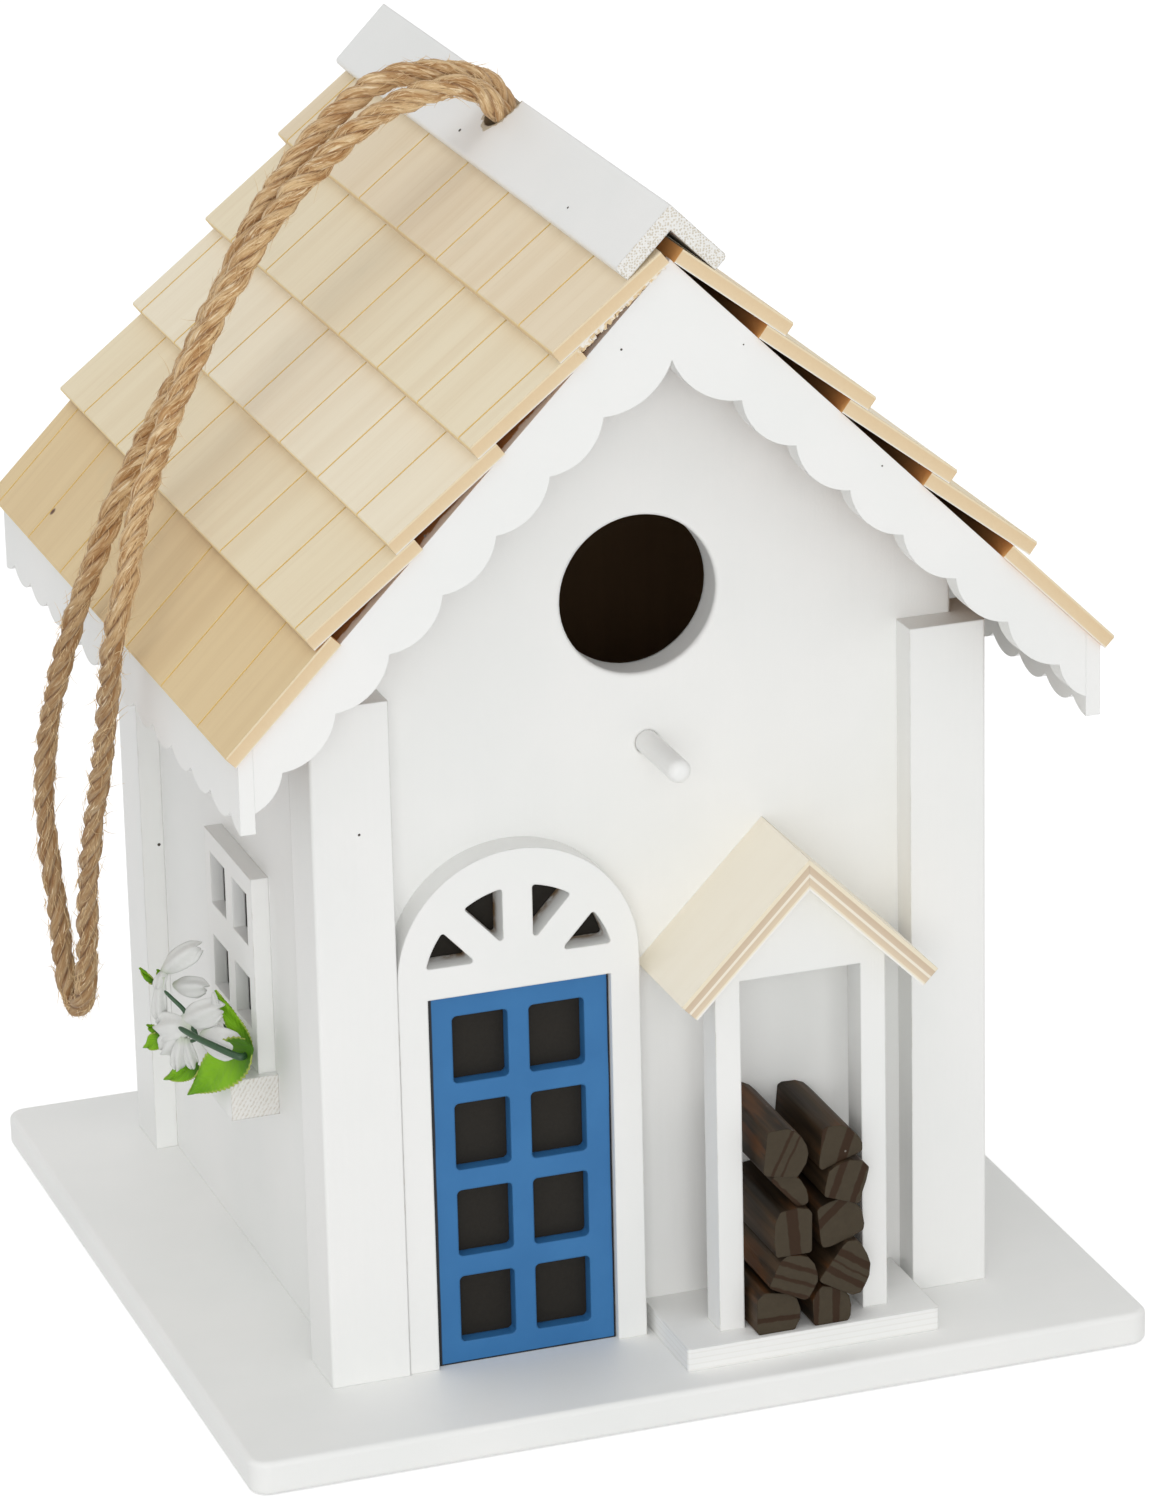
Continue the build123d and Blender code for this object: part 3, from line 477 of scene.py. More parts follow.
# Rope. Three strands of jute laid up right-handed, doubled into a hanger: both ends pass through
# the ridge and are knotted under the roof boards, and loose fibres stand off it all along.
rope_route = [
    (0.0000, 0.0116, 0.2215), (0.0005, 0.0115, 0.2360), (-0.0029, 0.0115, 0.2462),
    (-0.0137, 0.0118, 0.2495), (-0.0294, 0.0138, 0.2481), (-0.0512, 0.0129, 0.2269),
    (-0.0654, 0.0098, 0.2008), (-0.0818, 0.0080, 0.1767), (-0.0924, 0.0057, 0.1557),
    (-0.0980, 0.0078, 0.1380), (-0.1005, 0.0135, 0.1212), (-0.1007, 0.0184, 0.1019),
    (-0.0981, 0.0202, 0.0796), (-0.0969, 0.0202, 0.0598), (-0.0958, 0.0117, 0.0629),
    (-0.0953, 0.0088, 0.0759), (-0.0962, 0.0029, 0.0932), (-0.0958, -0.0054, 0.1120),
    (-0.0951, -0.0152, 0.1328), (-0.0954, -0.0226, 0.1506), (-0.0918, -0.0229, 0.1641),
    (-0.0866, -0.0136, 0.1737), (-0.0777, -0.0028, 0.1860), (-0.0679, 0.0042, 0.2011),
    (-0.0513, 0.0075, 0.2249), (-0.0306, 0.0070, 0.2429), (-0.0138, 0.0064, 0.2479),
    (-0.0056, 0.0073, 0.2446), (0.0003, 0.0065, 0.2340), (0.0000, 0.0064, 0.2215),
]
rope_diameter = 0.0047
path_step = 0.0001
rope_line = bpy.data.curves.new("rope_line", "CURVE")
rope_line.dimensions = "3D"
rope_line.resolution_u = 40
rope_spline = rope_line.splines.new("NURBS")
rope_spline.points.add(len(rope_route) - 1)
for point, place in zip(rope_spline.points, rope_route):
    point.co = (*place, 1.0)
rope_spline.order_u = 3
rope_spline.use_endpoint_u = True
rope_line_object = bpy.data.objects.new("rope_line", rope_line)
rope_path = []
for vertex in bpy.data.meshes.new_from_object(rope_line_object).vertices:
    if not rope_path or (vertex.co - rope_path[-1]).length > path_step:
        rope_path.append(vertex.co.copy())
bpy.data.objects.remove(rope_line_object)


def carried_frames(path):
    """Two directions square to a path at each of its points, turned no more than its bends ask."""
    frames = []
    side = None
    for i in range(len(path)):
        ahead = (path[min(i + 1, len(path) - 1)] - path[max(i - 1, 0)]).normalized()
        if side is None:
            side = ahead.orthogonal().normalized()
        side = (side - ahead * side.dot(ahead)).normalized()
        frames.append((side, ahead.cross(side)))
    return frames


def add_tube(mesh_builder, path, radii, sides):
    """A round wire or fibre along a path, closed at both ends."""
    angles = [2 * math.pi * k / sides for k in range(sides)]
    rings = []
    for point, radius, (side, lift) in zip(path, radii, carried_frames(path)):
        rings.append([mesh_builder.verts.new(point + radius * (math.cos(a) * side + math.sin(a) * lift))
                      for a in angles])
    for low, high in zip(rings, rings[1:]):
        for k in range(sides):
            mesh_builder.faces.new((low[k], low[(k + 1) % sides], high[(k + 1) % sides], high[k]))
    mesh_builder.faces.new(rings[0][::-1])
    mesh_builder.faces.new(rings[-1])


strand_count = 3
strand_lay = 0.0168
strand_offset = 0.00122
strand_radius = 0.00130
strand_girth = 0.0082
strand_apart = 0.02
strand_sides = 18
strand_swell = (0.87, 1.11)
swell_points = 10
hang_from = 0.16
hang_blend = 0.02
slack = 0.06
yarns = 6
yarn_lay = 1.5 * strand_lay
yarn_ridge = 0.03
yarn_lump = 0.026


def laid_rope(path, seed):
    """Three strands twisted round a path, lumpy with their yarns, with fibre coordinates for the finish.

    Where the loop hangs free its own weight has drawn the lay tighter.
    """
    dice = random.Random(seed)
    builder = bmesh.new()
    fibre = builder.loops.layers.uv.new("fibre")
    frames = carried_frames(path)
    travelled = [0.0]
    for a, b in zip(path, path[1:]):
        travelled.append(travelled[-1] + (b - a).length)
    for strand in range(strand_count):
        swell = [dice.uniform(*strand_swell) for _ in range(len(path) // swell_points + 2)]
        lumps = [(dice.randrange(2, 7), dice.uniform(-2000, 2000), dice.uniform(0, 6)) for _ in range(5)]
        start = 2 * math.pi * strand / strand_count
        full = []
        for i, point in enumerate(path):
            at, share = divmod(i / swell_points, 1)
            drawn = 1 - slack + slack * math.tanh((point.z - hang_from) / hang_blend)
            full.append(drawn * (swell[int(at)] * (1 - share) + swell[int(at) + 1] * share))
        centres = []
        outs = []
        for point, s, plump, (side, lift) in zip(path, travelled, full, frames):
            turn = start + 2 * math.pi * s / strand_lay + 0.3 * math.sin(95 * s) + 0.2 * math.sin(231 * s)
            out = math.cos(turn) * side + math.sin(turn) * lift
            centres.append(point + strand_offset * plump * out)
            outs.append(out)
        rings = []
        for i, (centre, out) in enumerate(zip(centres, outs)):
            ahead = (centres[min(i + 1, len(path) - 1)] - centres[max(i - 1, 0)]).normalized()
            out = (out - ahead * out.dot(ahead)).normalized()
            lift = ahead.cross(out)
            thick = strand_radius * full[i]
            ring = []
            for k in range(strand_sides):
                angle = 2 * math.pi * k / strand_sides
                yarn_turn = angle + 2 * math.pi * travelled[i] / yarn_lay
                ridge = 1 + yarn_ridge * math.cos(yarns * yarn_turn)
                ridge += sum(yarn_lump * math.cos(n * angle + rate * travelled[i] + phase)
                             for n, rate, phase in lumps)
                ring.append(builder.verts.new(
                    centre + thick * ridge * (math.cos(angle) * out + math.sin(angle) * lift)))
            rings.append(ring)
        for i, (low, high) in enumerate(zip(rings, rings[1:])):
            for k in range(strand_sides):
                after = (k + 1) % strand_sides
                face = builder.faces.new((low[k], low[after], high[after], high[k]))
                face.smooth = True
                corners = ((k, i), (k + 1, i), (k + 1, i + 1), (k, i + 1))
                for loop, (around, along) in zip(face.loops, corners):
                    girth = around / strand_sides * strand_girth
                    loop[fibre].uv = (girth + strand_apart * strand, travelled[along])
        builder.faces.new(rings[0][::-1])
        builder.faces.new(rings[-1])
    return builder


darker_below = (0.175, 0.140)


def jute_fibre(name):
    """Long fibres in straw and tan with pale slivers, with painted shade between the strands, darker low
    down.
    """
    finish, tree, shader = new_finish(name, roughness=0.85)
    fibre = add_node(tree, "UVMap", uv_map="fibre").outputs["UV"]
    skew = add_node(tree, "Mapping", {"Vector": fibre, "Scale": (1.0, 10.0, 1.0), "Rotation": (0, 0, 0.4)},
                    vector_type="TEXTURE").outputs["Vector"]
    hair = noise_of(tree, skew, 2300.0, detail=4.0, roughness=0.75)
    bundle = noise_of(tree, skew, 900.0)
    aside = add_node(tree, "VectorMath", {0: skew, 1: (0.3, 0.7, 0.0)}).outputs[0]
    sliver = noise_of(tree, aside, 1700.0, detail=1.0)
    place = place_of(tree)
    patch = noise_of(tree, place, 140.0)
    colour = mix_colour(tree, step_of(tree, bundle, 0.37, 0.63), srgb(178, 135, 88), srgb(222, 190, 144))
    colour = mix_colour(tree, step_of(tree, hair, 0.50, 0.65), colour, srgb(243, 220, 181))
    colour = mix_colour(tree, step_of(tree, hair, 0.46, 0.31), colour, srgb(118, 75, 40))
    colour = mix_colour(tree, times(tree, step_of(tree, patch, 0.5, 0.75), 0.35), colour, srgb(186, 132, 78))
    # The rope is darker towards the bottom of the loop.
    toward_bottom = step_of(tree, axes_of(tree, place)["Z"], *darker_below)
    colour = mix_colour(tree, times(tree, toward_bottom, 0.5), colour, srgb(138, 104, 70))
    colour = mix_colour(tree, step_of(tree, sliver, 0.66, 0.73), colour, srgb(242, 224, 192))
    girth = axes_of(tree, fibre)["X"]
    round_it = math_of(tree, "DIVIDE", math_of(tree, "MODULO", girth, strand_apart), strand_girth)
    inward = math_of(tree, "ABSOLUTE", math_of(tree, "SUBTRACT", round_it, 0.5))
    # Painted shade: the inner side of each strand, where the strands meet, is painted dark brown for the
    # shade in the crevices.
    strand_crevice_shade = times(tree, step_of(tree, inward, 0.3, 0.16), step_of(tree, bundle, 0.3, 0.6))
    colour = mix_colour(tree, strand_crevice_shade, colour, srgb(128, 84, 46))
    shader.inputs["Specular IOR Level"].default_value = 0.15
    shader.inputs["Sheen Weight"].default_value = 0.2
    lay_on(tree, shader, colour, [(hair, 0.00026), (bundle, 0.00020)])
    return finish


jute = jute_fibre("jute")
rope = new_piece("rope_strands", laid_rope(rope_path, 3), jute)
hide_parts("hanging_rope")

hair_count = 2000
hair_radius = 0.00007
hair_seat = 0.46 * rope_diameter
hair_points = 6
hidden_points = 60
hair_dice = random.Random(11)
hair_mesh = bmesh.new()
rope_frames = carried_frames(rope_path)
for number in range(hair_count):
    at = hair_dice.randrange(hidden_points, len(rope_path) - hidden_points)
    side, lift = rope_frames[at]
    ahead = side.cross(lift)
    angle = hair_dice.uniform(0, 2 * math.pi)
    out = math.cos(angle) * side + math.sin(angle) * lift
    round_it = ahead.cross(out)
    loose = number % 4 == 0
    reach = hair_dice.uniform(0.0014, 0.0034) if loose else hair_dice.uniform(0.0016, 0.0040)
    stand = hair_dice.uniform(0.2, 0.7) if loose else hair_dice.uniform(0.02, 0.2)
    curl = Vector([hair_dice.uniform(-1, 1) for _ in range(3)]) * (0.6 if loose else 0.3)
    lean = (ahead * hair_dice.choice((-1, 1)) + round_it * hair_dice.uniform(-0.5, 0.5)).normalized()
    root = rope_path[at] + out * hair_seat
    shares = [k / (hair_points - 1) for k in range(hair_points)]
    hair = [root + reach * (lean * t + out * stand * t + curl * t * t) for t in shares]
    add_tube(hair_mesh, hair, [hair_radius * (1.2 - t) for t in shares], sides=4)
loose_jute, _, loose_shader = new_finish("loose_jute", roughness=0.85)
loose_shader.inputs["Base Color"].default_value = srgb(224, 196, 152)
hairs = new_piece("rope_fibres", hair_mesh, loose_jute)


# Knot. Both ends of the rope are tied in one overhand knot, too big for the hole, which bears up
# under the roof boards when the house hangs.
knot_low, knot_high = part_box("rope_knot")
knot_middle = (knot_low + knot_high) / 2
knot_reach = ((knot_high - knot_low).x / 2 - rope_diameter / 2) / 3
knot_points = 160
knot_path = []
for k in range(knot_points):
    t = 2 * math.pi * k / knot_points
    turn = Vector((math.sin(t) + 2 * math.sin(2 * t), math.cos(t) - 2 * math.cos(2 * t),
                   -1.6 * math.sin(3 * t)))
    knot_path.append(knot_middle + knot_reach * turn)
knot = new_piece("rope_knot_tied", laid_rope(knot_path, 5), jute)
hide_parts("rope_knot")


# Perch. A turned dowel glued into its hole in the front wall, under the entry and a little to one
# side of it, and painted with the wall.
give(painted("perch_paint", "Y"), "perch")


# Door. A sawn surround with a fanlight is glued over a dark sheet; the blue door with its eight
# panes lies in it. Inside the fanlight's openings the saw has left brown, thinly painted wood.
fan_centre = (-0.0284, 0.0, 0.0873)
fan_radius = (0.0205, 0.0200)
fan_sill = (0.0910, 0.0915)
fan_depth = (-0.0632, -0.0608)


def sawn_openings(tree, place):
    """The backs of the cut sides of the fanlight's openings."""
    frontward = math_of(tree, "ABSOLUTE", along_of(tree, normal_of(tree), (0, 1, 0)))
    side_on = step_of(tree, frontward, 0.5, 0.3)
    apart = axes_of(tree, place)
    deep = step_of(tree, apart["Y"], *fan_depth)
    scrub = step_of(tree, noise_of(tree, place, 420.0), 0.3, 0.65)
    flat = add_node(tree, "CombineXYZ", {"X": apart["X"], "Z": apart["Z"]}).outputs["Vector"]
    away = distance_of(tree, flat, fan_centre)
    within = times(tree, step_of(tree, away, *fan_radius), step_of(tree, apart["Z"], *fan_sill))
    return times(tree, times(tree, side_on, deep), times(tree, scrub, within))


give(painted("surround_paint", "X", bare=sawn_openings, wood=srgb(166, 132, 92)), "door_surround")


def specked(tree, place, colour, tone, scale, rare, size):
    """Thin specks of another paint; the higher rare is, the fewer there are."""
    dots = add_node(tree, "TexVoronoi", {"Vector": place, "Scale": scale}).outputs
    pick = step_of(tree, dots["Color"], rare, rare + 0.02)
    speck = times(tree, step_of(tree, dots["Distance"], *size), pick)
    return mix_colour(tree, times(tree, speck, 0.5), colour, tone)


door_gap = 0.0006
gap_shadow_line = (0.0006, 0.0004)
gap_shadow_wobble = 0.0004
door_edge = 0.0006


def door_blue(name):
    """Blue paint with a few white specks, and a painted shadow: a dark line round the door where it meets
    the surround.
    """
    low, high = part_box("door_panel")
    low.x += door_gap
    finish, tree, shader = new_finish(name, roughness=0.42)
    place = place_of(tree)
    cloud = noise_of(tree, place, 60.0)
    peel = noise_of(tree, place, 1100.0, detail=2.0)
    colour = mix_colour(tree, step_of(tree, cloud, 0.3, 0.7), srgb(51, 112, 167), srgb(56, 118, 173))
    colour = specked(tree, place, colour, srgb(206, 220, 232), scale=260.0, rare=0.72, size=(0.07, 0.04))
    middle = (low + high) / 2
    off_middle = add_node(tree, "VectorMath", {0: place, 1: middle}, operation="SUBTRACT").outputs[0]
    apart = axes_of(tree, off_middle)
    across = math_of(tree, "SUBTRACT", high.x - middle.x, math_of(tree, "ABSOLUTE", apart["X"]))
    upward = math_of(tree, "SUBTRACT", high.z - middle.z, math_of(tree, "ABSOLUTE", apart["Z"]))
    # Painted shadow: a dark line along the door's edges stands in for the shade in the gap round it.
    gap_shadow = math_of(tree, "ADD", math_of(tree, "MINIMUM", across, upward), times(tree, cloud, gap_shadow_wobble))
    colour = mix_colour(tree, step_of(tree, gap_shadow, *gap_shadow_line), colour, srgb(30, 32, 36))
    shader.inputs["Specular IOR Level"].default_value = 0.3
    lay_on(tree, shader, colour, [(peel, 0.00002), (cloud, 0.0001)], door_edge)
    return finish


give(door_blue("door_paint"), "door_panel")

backing_sheet, sheet_shader = mottled("backing_sheet", srgb(38, 35, 31), srgb(46, 43, 38), scale=1800.0,
                                      depth=0.00002, roughness=0.55)
sheet_shader.inputs["Specular IOR Level"].default_value = 0.12
give(backing_sheet, "door_backing", "window_backing_left", "window_backing_right")


# Porch. A step of thick ply, whose layers show faintly through the paint on its edges, a frame of
# two uprights under a gable board, and a canopy of two mitred slabs of raw five-ply.
layer_rate = 5200.0


def step_layers(tree, place):
    height = times(tree, axes_of(tree, place)["Z"], layer_rate)
    wobble = times(tree, noise_of(tree, stretched(tree, place, "X", 0.1), 200.0), 2.0)
    wave = math_of(tree, "SINE", math_of(tree, "ADD", height, wobble))
    return times(tree, step_of(tree, wave, 0.55, 1.0), 0.10)


give(painted("step_paint", "X", lift=1.4, bare=step_layers, wood=srgb(190, 176, 150)), "porch_step")
give(painted("porch_paint", "Z"), "porch_frame")

canopy_thick = 0.0045
canopy_cream = srgb(253, 246, 229)
canopy_grain = srgb(228, 212, 180)
canopy_plies = [(0.0, srgb(240, 230, 206)), (0.16, srgb(240, 230, 206)), (0.20, srgb(208, 186, 160)),
                (0.44, srgb(212, 192, 168)), (0.48, srgb(246, 238, 222)), (0.56, srgb(246, 238, 222)),
                (0.60, srgb(218, 199, 174)), (0.82, srgb(224, 205, 178)), (0.86, srgb(242, 232, 210)),
                (1.0, srgb(236, 224, 196))]
for name in ("canopy_left", "canopy_right"):
    give(veneer(name, canopy_thick, canopy_cream, canopy_grain, canopy_plies, streak=0.08), name)


# Firewood. Ten short sticks split from rounds, stained dark brown and stacked in the porch.
# Their sawn ends show darker bands where the stain has soaked in: each stick's angle, then the places
# and half widths of its bands across that angle.
stain_bands = {
    1: (-2, [(0.01531, 0.00053)]),
    2: (-24, [(0.03208, 0.00046), (0.02920, 0.00038), (0.02656, 0.00038)]),
    3: (95, [(-0.02348, 0.00115)]),
    4: (-48, [(0.04136, 0.00126)]),
    5: (63, [(0.00651, 0.00032), (0.00452, 0.00021)]),
    6: (89, [(-0.02526, 0.00053), (-0.02951, 0.00073)]),
    7: (-35, [(0.03997, 0.00073), (0.03585, 0.00063), (0.03782, 0.00017)]),
    8: (41, [(0.00806, 0.00084)]),
    9: (69, [(-0.01727, 0.00063), (-0.01270, 0.00073)]),
    10: (72, [(-0.00968, 0.00059), (-0.01527, 0.00094)]),
}
band_wobble = 0.0008
band_outside = 0.00018
band_inside = 0.00012
stick_edge = 0.0004


def stained_stick(name, angle, bands):
    finish, tree, shader = new_finish(name, roughness=0.55)
    place = place_of(tree)
    turn = math.radians(angle)
    across = along_of(tree, place, (-math.sin(turn), 0, math.cos(turn)))
    across = math_of(tree, "ADD", across, times(tree, noise_of(tree, place, 420.0), band_wobble))
    soaked = 0.0
    for middle, half_width in bands:
        off = math_of(tree, "ABSOLUTE", math_of(tree, "SUBTRACT", across, middle + band_wobble / 2))
        band = step_of(tree, off, half_width + band_outside, half_width - band_inside)
        soaked = math_of(tree, "MAXIMUM", soaked, band)
    streaks = noise_of(tree, stretched(tree, place, "Y"), 420.0)
    pores = noise_of(tree, place, 900.0)
    ends = facing(tree, (0, -1, 0))
    bark = mix_colour(tree, step_of(tree, streaks, 0.35, 0.7), srgb(42, 34, 25), srgb(74, 58, 42))
    # Painted sheen: reddish-brown streaks along the sides stand in for the sheen on the stained wood.
    sheen_streaks = step_of(tree, noise_of(tree, stretched(tree, place, "Y", 0.15), 240.0), 0.50, 0.68)
    bark = mix_colour(tree, times(tree, sheen_streaks, 0.7), bark, srgb(104, 66, 36))
    sawn = mix_colour(tree, pores, srgb(62, 54, 42), srgb(73, 64, 50))
    sawn = mix_colour(tree, times(tree, soaked, 0.9), sawn, srgb(50, 32, 18))
    colour = mix_colour(tree, ends, bark, sawn)
    colour = specked(tree, place, colour, srgb(170, 164, 156), scale=330.0, rare=0.8, size=(0.09, 0.05))
    shader.inputs["Specular IOR Level"].default_value = 0.15
    lay_on(tree, shader, colour, [(streaks, 0.00008), (soaked, -0.00004)], stick_edge)
    return finish


for number, (angle, bands) in stain_bands.items():
    give(stained_stick(f"stick_{number}_stain", angle, bands), f"log_{number}")


# Side windows and planters. A sawn frame with four lights over a dark sheet, and under it a block
# bored for the flowers' stem, whose sawn ends show slanting saw marks through the paint.
give(painted("window_paint", "Z"), "window_left", "window_right")

saw_slant = (0.85, 0.0, -0.53)
saw_rate = 8000.0


def saw_marks(tree, place):
    across = times(tree, along_of(tree, place, saw_slant), saw_rate)
    wobble = times(tree, noise_of(tree, place, 900.0), 7.0)
    wave = math_of(tree, "SINE", math_of(tree, "ADD", across, wobble))
    worn = step_of(tree, noise_of(tree, place, 1600.0), 0.3, 0.7)
    marks = times(tree, step_of(tree, wave, -0.8, 1.0), worn)
    faint = math_of(tree, "ADD", times(tree, marks, 0.45), 0.15)
    return times(tree, both_ends(tree), faint)


give(painted("planter_paint", "Y", bare=saw_marks, wood=srgb(196, 180, 158)),
     "window_box_left", "window_box_right")


# Flowers. Bought sprays of printed cloth: serrated leaves and white petals on green covered wire,
# one spray glued into each planter. Both are the same spray, mirrored.
def add_cloth(builder, weave, root, tip, outward, outline, bow, rows, columns=8):
    """A cut piece of cloth from root to tip; outline is its half width and bow its lift along the way."""
    along = Vector(tip) - Vector(root)
    out = Vector(outward)
    out = (out - along * (out.dot(along) / along.length_squared)).normalized()
    across = along.cross(out).normalized()
    grid = []
    for row in range(rows + 1):
        t = row / rows
        line = []
        for column in range(columns + 1):
            u = 2 * column / columns - 1
            spot = Vector(root) + along * t + across * (outline(t) * u) + out * bow(t, u)
            line.append(builder.verts.new(spot))
        grid.append(line)
    for row in range(rows):
        for column in range(columns):
            face = builder.faces.new((grid[row][column], grid[row][column + 1],
                                      grid[row + 1][column + 1], grid[row + 1][column]))
            face.smooth = True
            corners = ((row, column), (row, column + 1), (row + 1, column + 1), (row + 1, column))
            for loop, (at_row, at_column) in zip(face.loops, corners):
                loop[weave].uv = (2 * at_column / columns - 1, at_row / rows)


leaf_teeth = 18
tooth_share = 0.13
least_half_width = 0.0001
leaf_ripple = 0.0003


def add_leaf(builder, weave, root, tip, outward, half_width, curl):
    """A serrated leaf, folded up a little along its rib and rippled."""
    def outline(t):
        body = max(math.sin(math.pi * (0.04 + 0.955 * t) ** 0.65), 0.0)
        return half_width * body * (1 - tooth_share * ((t * leaf_teeth) % 1.0)) + least_half_width

    def bow(t, u):
        fold = 0.22 * half_width * abs(u) * (1 - t)
        return curl * math.sin(math.pi * t) + fold + leaf_ripple * math.sin(9 * t + 4 * u)

    add_cloth(builder, weave, root, tip, outward, outline, bow, rows=4 * leaf_teeth)


def add_petal(builder, weave, root, tip, outward, half_width, arch, cup, wave):
    """A petal, narrow at its root and round at its tip, arched along and cupped across."""
    def outline(t):
        body = 0.22 + 0.78 * math.sin(math.pi * (0.06 + 0.66 * t))
        return half_width * body * min(1.0, (1.04 - t) * 5) ** 0.5

    def bow(t, u):
        return arch * math.sin(math.pi * t) - cup * u * u + wave * t * math.sin(5.5 * u + 3 * t)

    add_cloth(builder, weave, root, tip, outward, outline, bow, rows=16, columns=12)


def mirrored(builder):
    """Adds the spray of the other side of the house, with its faces turned to match."""
    twin = bmesh.ops.duplicate(builder, geom=builder.verts[:] + builder.edges[:] + builder.faces[:])["geom"]
    for vert in [g for g in twin if isinstance(g, bmesh.types.BMVert)]:
        vert.co.x = -vert.co.x
    bmesh.ops.reverse_faces(builder, faces=[g for g in twin if isinstance(g, bmesh.types.BMFace)])


def weave_of(tree):
    """The cloth's own axes: X from edge to edge, Y from root to tip."""
    return axes_of(tree, add_node(tree, "UVMap", uv_map="weave").outputs["UV"])


def cloth_leaf(name):
    finish, tree, shader = new_finish(name, roughness=0.6)
    apart = weave_of(tree)
    rib = math_of(tree, "ABSOLUTE", apart["X"])
    slant = math_of(tree, "SUBTRACT", times(tree, apart["Y"], 46.0), times(tree, rib, 14.0))
    cords = math_of(tree, "SINE", slant)
    patch = noise_of(tree, place_of(tree), 110.0)
    colour = mix_colour(tree, step_of(tree, patch, 0.35, 0.65), srgb(108, 164, 18), srgb(132, 186, 34))
    colour = mix_colour(tree, step_of(tree, apart["Y"], 0.45, 0.05), colour, srgb(70, 116, 24))
    colour = mix_colour(tree, times(tree, step_of(tree, rib, 0.86, 1.0), 0.6), colour, srgb(206, 212, 112))
    shader.inputs["Specular IOR Level"].default_value = 0.2
    lay_on(tree, shader, colour, [(cords, 0.00005)])
    return finish


def cloth_petal(name):
    finish, tree, shader = new_finish(name, roughness=0.8)
    apart = weave_of(tree)
    threads = times(tree, math_of(tree, "SINE", times(tree, apart["X"], 70.0)),
                    math_of(tree, "SINE", times(tree, apart["Y"], 110.0)))
    fold = noise_of(tree, place_of(tree), 300.0)
    colour = mix_colour(tree, step_of(tree, apart["Y"], 0.3, 0.0), srgb(228, 229, 226), srgb(210, 218, 200))
    shader.inputs["Sheen Weight"].default_value = 0.15
    lay_on(tree, shader, colour, [(threads, 0.00002), (fold, 0.0004)])
    return finish


spray_face = (-0.42, -0.80, 0.42)
leaves = [
    ((-0.0715, -0.0260, 0.0646), (-0.0802, -0.0081, 0.0485), 0.0046, 0.0006),
    ((-0.0697, -0.0180, 0.0599), (-0.0744, -0.0109, 0.0713), 0.0017, 0.0004),
    ((-0.0785, -0.0113, 0.0556), (-0.0835, -0.0024, 0.0501), 0.0020, 0.0004),
    ((-0.0828, -0.0008, 0.0585), (-0.0856, 0.0047, 0.0547), 0.0017, 0.0004),
    ((-0.0838, 0.0007, 0.0594), (-0.0851, 0.0033, 0.0600), 0.0007, 0.0002),
    ((-0.0840, 0.0013, 0.0697), (-0.0859, 0.0041, 0.0723), 0.0006, 0.0002),
    ((-0.0827, -0.0012, 0.0716), (-0.0833, 0.0001, 0.0730), 0.0006, 0.0002),
]
leaf_mesh = bmesh.new()
leaf_weave = leaf_mesh.loops.layers.uv.new("weave")
for root, tip, half_width, curl in leaves:
    add_leaf(leaf_mesh, leaf_weave, root, tip, spray_face, half_width, curl)
mirrored(leaf_mesh)
leaf_piece = new_piece("flower_leaves", leaf_mesh, cloth_leaf("leaf_cloth"))

petals = [
    ((-0.0829, -0.0014, 0.0732), (-0.0771, -0.0088, 0.0801), 0.0024, 0.0018, 0.0016, 0.0006),
    ((-0.0821, -0.0016, 0.0734), (-0.0843, -0.0027, 0.0700), 0.0013, 0.0008, 0.0006, 0.0004),
    ((-0.0833, -0.0028, 0.0724), (-0.0840, -0.0017, 0.0627), 0.0016, 0.0008, 0.0006, 0.0005),
    ((-0.0805, -0.0011, 0.0699), (-0.0759, -0.0084, 0.0709), 0.0022, 0.0010, 0.0010, 0.0006),
    ((-0.0810, -0.0071, 0.0644), (-0.0749, -0.0157, 0.0689), 0.0030, 0.0014, 0.0012, 0.0008),
    ((-0.0798, -0.0108, 0.0639), (-0.0848, -0.0018, 0.0617), 0.0030, 0.0014, 0.0010, 0.0007),
    ((-0.0807, -0.0094, 0.0631), (-0.0841, -0.0036, 0.0565), 0.0026, 0.0012, 0.0008, 0.0007),
    ((-0.0788, -0.0138, 0.0636), (-0.0734, -0.0224, 0.0626), 0.0032, 0.0012, 0.0010, 0.0005),
    ((-0.0815, -0.0096, 0.0619), (-0.0823, -0.0077, 0.0540), 0.0016, 0.0006, 0.0004, 0.0006),
    ((-0.0806, -0.0102, 0.0616), (-0.0797, -0.0108, 0.0551), 0.0013, 0.0005, 0.0004, 0.0006),
    ((-0.0751, -0.0151, 0.0662), (-0.0755, -0.0132, 0.0719), 0.0007, 0.0003, 0.0002, 0.0002),
]
petal_mesh = bmesh.new()
petal_weave = petal_mesh.loops.layers.uv.new("weave")
for root, tip, half_width, arch, cup, wave in petals:
    add_petal(petal_mesh, petal_weave, root, tip, spray_face, half_width, arch, cup, wave)
mirrored(petal_mesh)
petal_piece = new_piece("flower_petals", petal_mesh, cloth_petal("petal_cloth"))

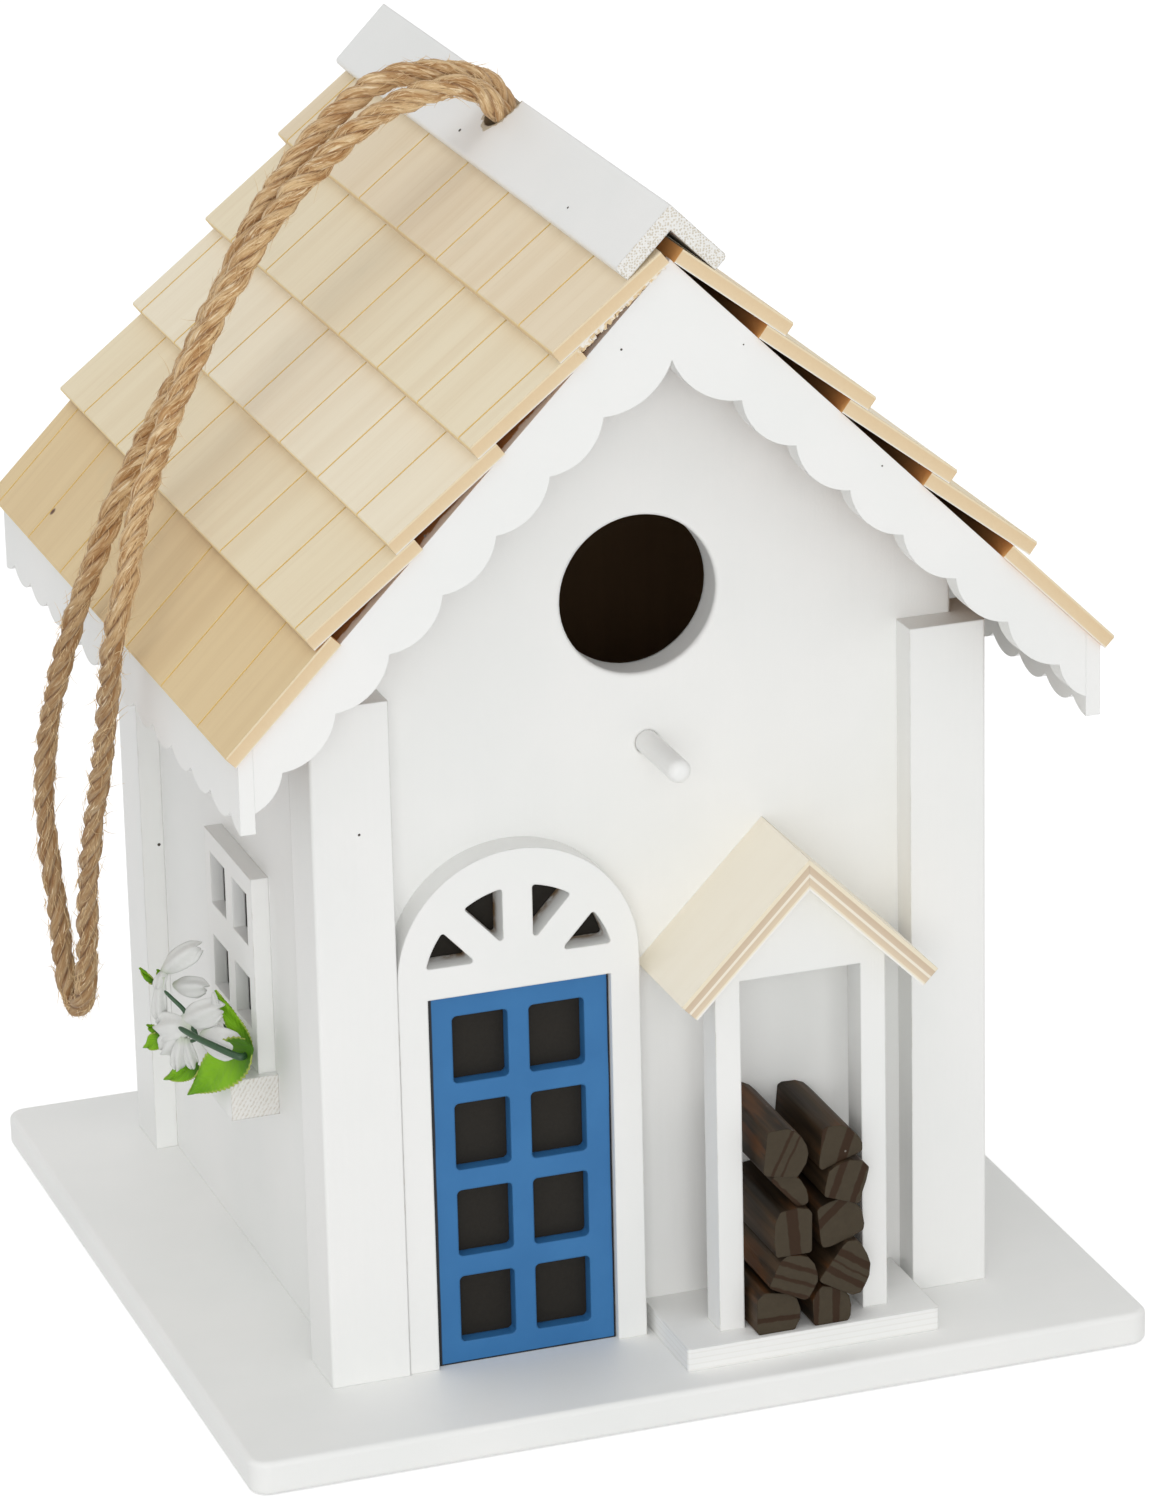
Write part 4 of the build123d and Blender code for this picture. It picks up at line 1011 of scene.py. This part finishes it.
stems = [
    ([(-0.0711, -0.0099, 0.0510), (-0.0711, -0.0100, 0.0565), (-0.0715, -0.0180, 0.0600),
      (-0.0722, -0.0245, 0.0622), (-0.0737, -0.0263, 0.0624), (-0.0753, -0.0244, 0.0627),
      (-0.0781, -0.0216, 0.0639), (-0.0804, -0.0174, 0.0643), (-0.0828, -0.0115, 0.0650)], 0.00100),
    ([(-0.0790, -0.0130, 0.0622), (-0.0795, -0.0085, 0.0650), (-0.0802, -0.0074, 0.0669),
      (-0.0822, -0.0070, 0.0690), (-0.0837, -0.0056, 0.0708)], 0.00060),
    ([(-0.0790, -0.0125, 0.0618), (-0.0812, -0.0060, 0.0590), (-0.0834, 0.0000, 0.0588)], 0.00050),
    ([(-0.0745, -0.0205, 0.0600), (-0.0728, -0.0180, 0.0612), (-0.0740, -0.0140, 0.0655)], 0.00050),
]
stem_taper = 0.35
stem_mesh = bmesh.new()
for points, radius in stems:
    spots = [Vector(p) for p in points]
    radii = [radius * (1 - stem_taper * k / (len(spots) - 1)) for k in range(len(spots))]
    add_tube(stem_mesh, spots, radii, sides=10)
mirrored(stem_mesh)
stem_plastic, _ = mottled("stem_plastic", srgb(26, 62, 36), srgb(54, 90, 54), scale=900.0,
                          depth=0.00006, roughness=0.4)
stem_piece = new_piece("flower_wire", stem_mesh, stem_plastic, smooth=True)
wire_curve = stem_piece.modifiers.new("rounded", "SUBSURF")
wire_curve.levels = 2
wire_curve.render_levels = 2
cloth_thick = 0.00028
for piece in (leaf_piece, petal_piece):
    thick = piece.modifiers.new("cloth", "SOLIDIFY")
    thick.thickness = cloth_thick
    thick.offset = 0.0
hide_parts("flower_stems")
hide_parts("flower_stems")
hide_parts("flower_blossoms")


# The studio. A pale floor that runs out to white, and an even white room. One broad soft box stands
# in front, and a weaker one hangs above on the left.
def seen_directly(tree):
    """1 for what the camera, a reflection or a glass sees, and 0 for the light that falls on things."""
    path = add_node(tree, "LightPath").outputs
    seen = math_of(tree, "ADD", path["Is Camera Ray"], path["Is Glossy Ray"])
    return math_of(tree, "MINIMUM", math_of(tree, "ADD", seen, path["Is Transmission Ray"]), 1.0)


floor_half_width = 6.0
floor_drop = 0.0002
floor_grey = 0.85
floor_glow = 0.50
floor_mesh = bmesh.new()
bmesh.ops.create_grid(floor_mesh, x_segments=1, y_segments=1, size=floor_half_width)
floor_paper = bpy.data.materials.new("floor_paper")
floor_paper.use_nodes = True
paper = floor_paper.node_tree
paper.nodes.remove(paper.nodes["Principled BSDF"])
white = (1.0, 1.0, 1.0, 1.0)
matt = add_node(paper, "BsdfDiffuse", {"Color": (floor_grey, floor_grey, floor_grey, 1.0)})
shine = times(paper, seen_directly(paper), floor_glow)
glow = add_node(paper, "Emission", {"Color": white, "Strength": shine})
both = add_node(paper, "AddShader", {0: matt.outputs[0], 1: glow.outputs[0]})
paper.links.new(both.outputs[0], paper.nodes["Material Output"].inputs["Surface"])
floor_data = bpy.data.meshes.new("floor")
floor_mesh.to_mesh(floor_data)
floor_mesh.free()
floor_data.materials.append(floor_paper)
floor = bpy.data.objects.new("floor", floor_data)
floor.location = (0, 0, -floor_drop)
bpy.context.scene.collection.objects.link(floor)

room_light = 0.66
world = bpy.data.worlds.new("room")
bpy.context.scene.world = world
world.use_nodes = True
room = world.node_tree
background = room.nodes["Background"]
background.inputs["Color"].default_value = white
lit = math_of(room, "ADD", times(room, seen_directly(room), 1.0 - room_light), room_light)
room.links.new(lit, background.inputs["Strength"])


def soft_box(name, place, aim, size, power):
    lamp = bpy.data.lights.new(name, "AREA")
    lamp.shape = "SQUARE"
    lamp.size = size
    lamp.energy = power
    box = bpy.data.objects.new(name, lamp)
    box.location = place
    box.rotation_mode = "QUATERNION"
    box.rotation_quaternion = (Vector(aim) - Vector(place)).to_track_quat("-Z", "Y")
    bpy.context.scene.collection.objects.link(box)


house_middle = (0, 0, 0.12)
soft_box("front_box", (-0.55, -1.95, 0.45), house_middle, size=1.2, power=12.9)
soft_box("top_box", (-0.70, -0.40, 1.90), house_middle, size=1.0, power=3.8)


# Camera. It stands in front and to the left, a little above the roof and far off with a long lens,
# as the picture was taken, and leans slightly to one side.
camera_data = bpy.data.cameras.new("camera")
camera_data.sensor_fit = "VERTICAL"
camera_data.sensor_height = 36.0
camera_data.lens = 155.486
camera = bpy.data.objects.new("camera", camera_data)
camera.location = (-0.3936, -1.1764, 0.5586)
camera_target = Vector((0.007059, 0.0, 0.107454))
camera_roll = math.radians(-1.357)
camera.rotation_mode = "QUATERNION"
aim = (camera_target - camera.location).to_track_quat("-Z", "Y")
camera.rotation_quaternion = aim @ Quaternion((0, 0, 1), camera_roll)
bpy.context.scene.collection.objects.link(camera)
bpy.context.scene.camera = camera
bpy.context.scene.view_settings.view_transform = "Standard"
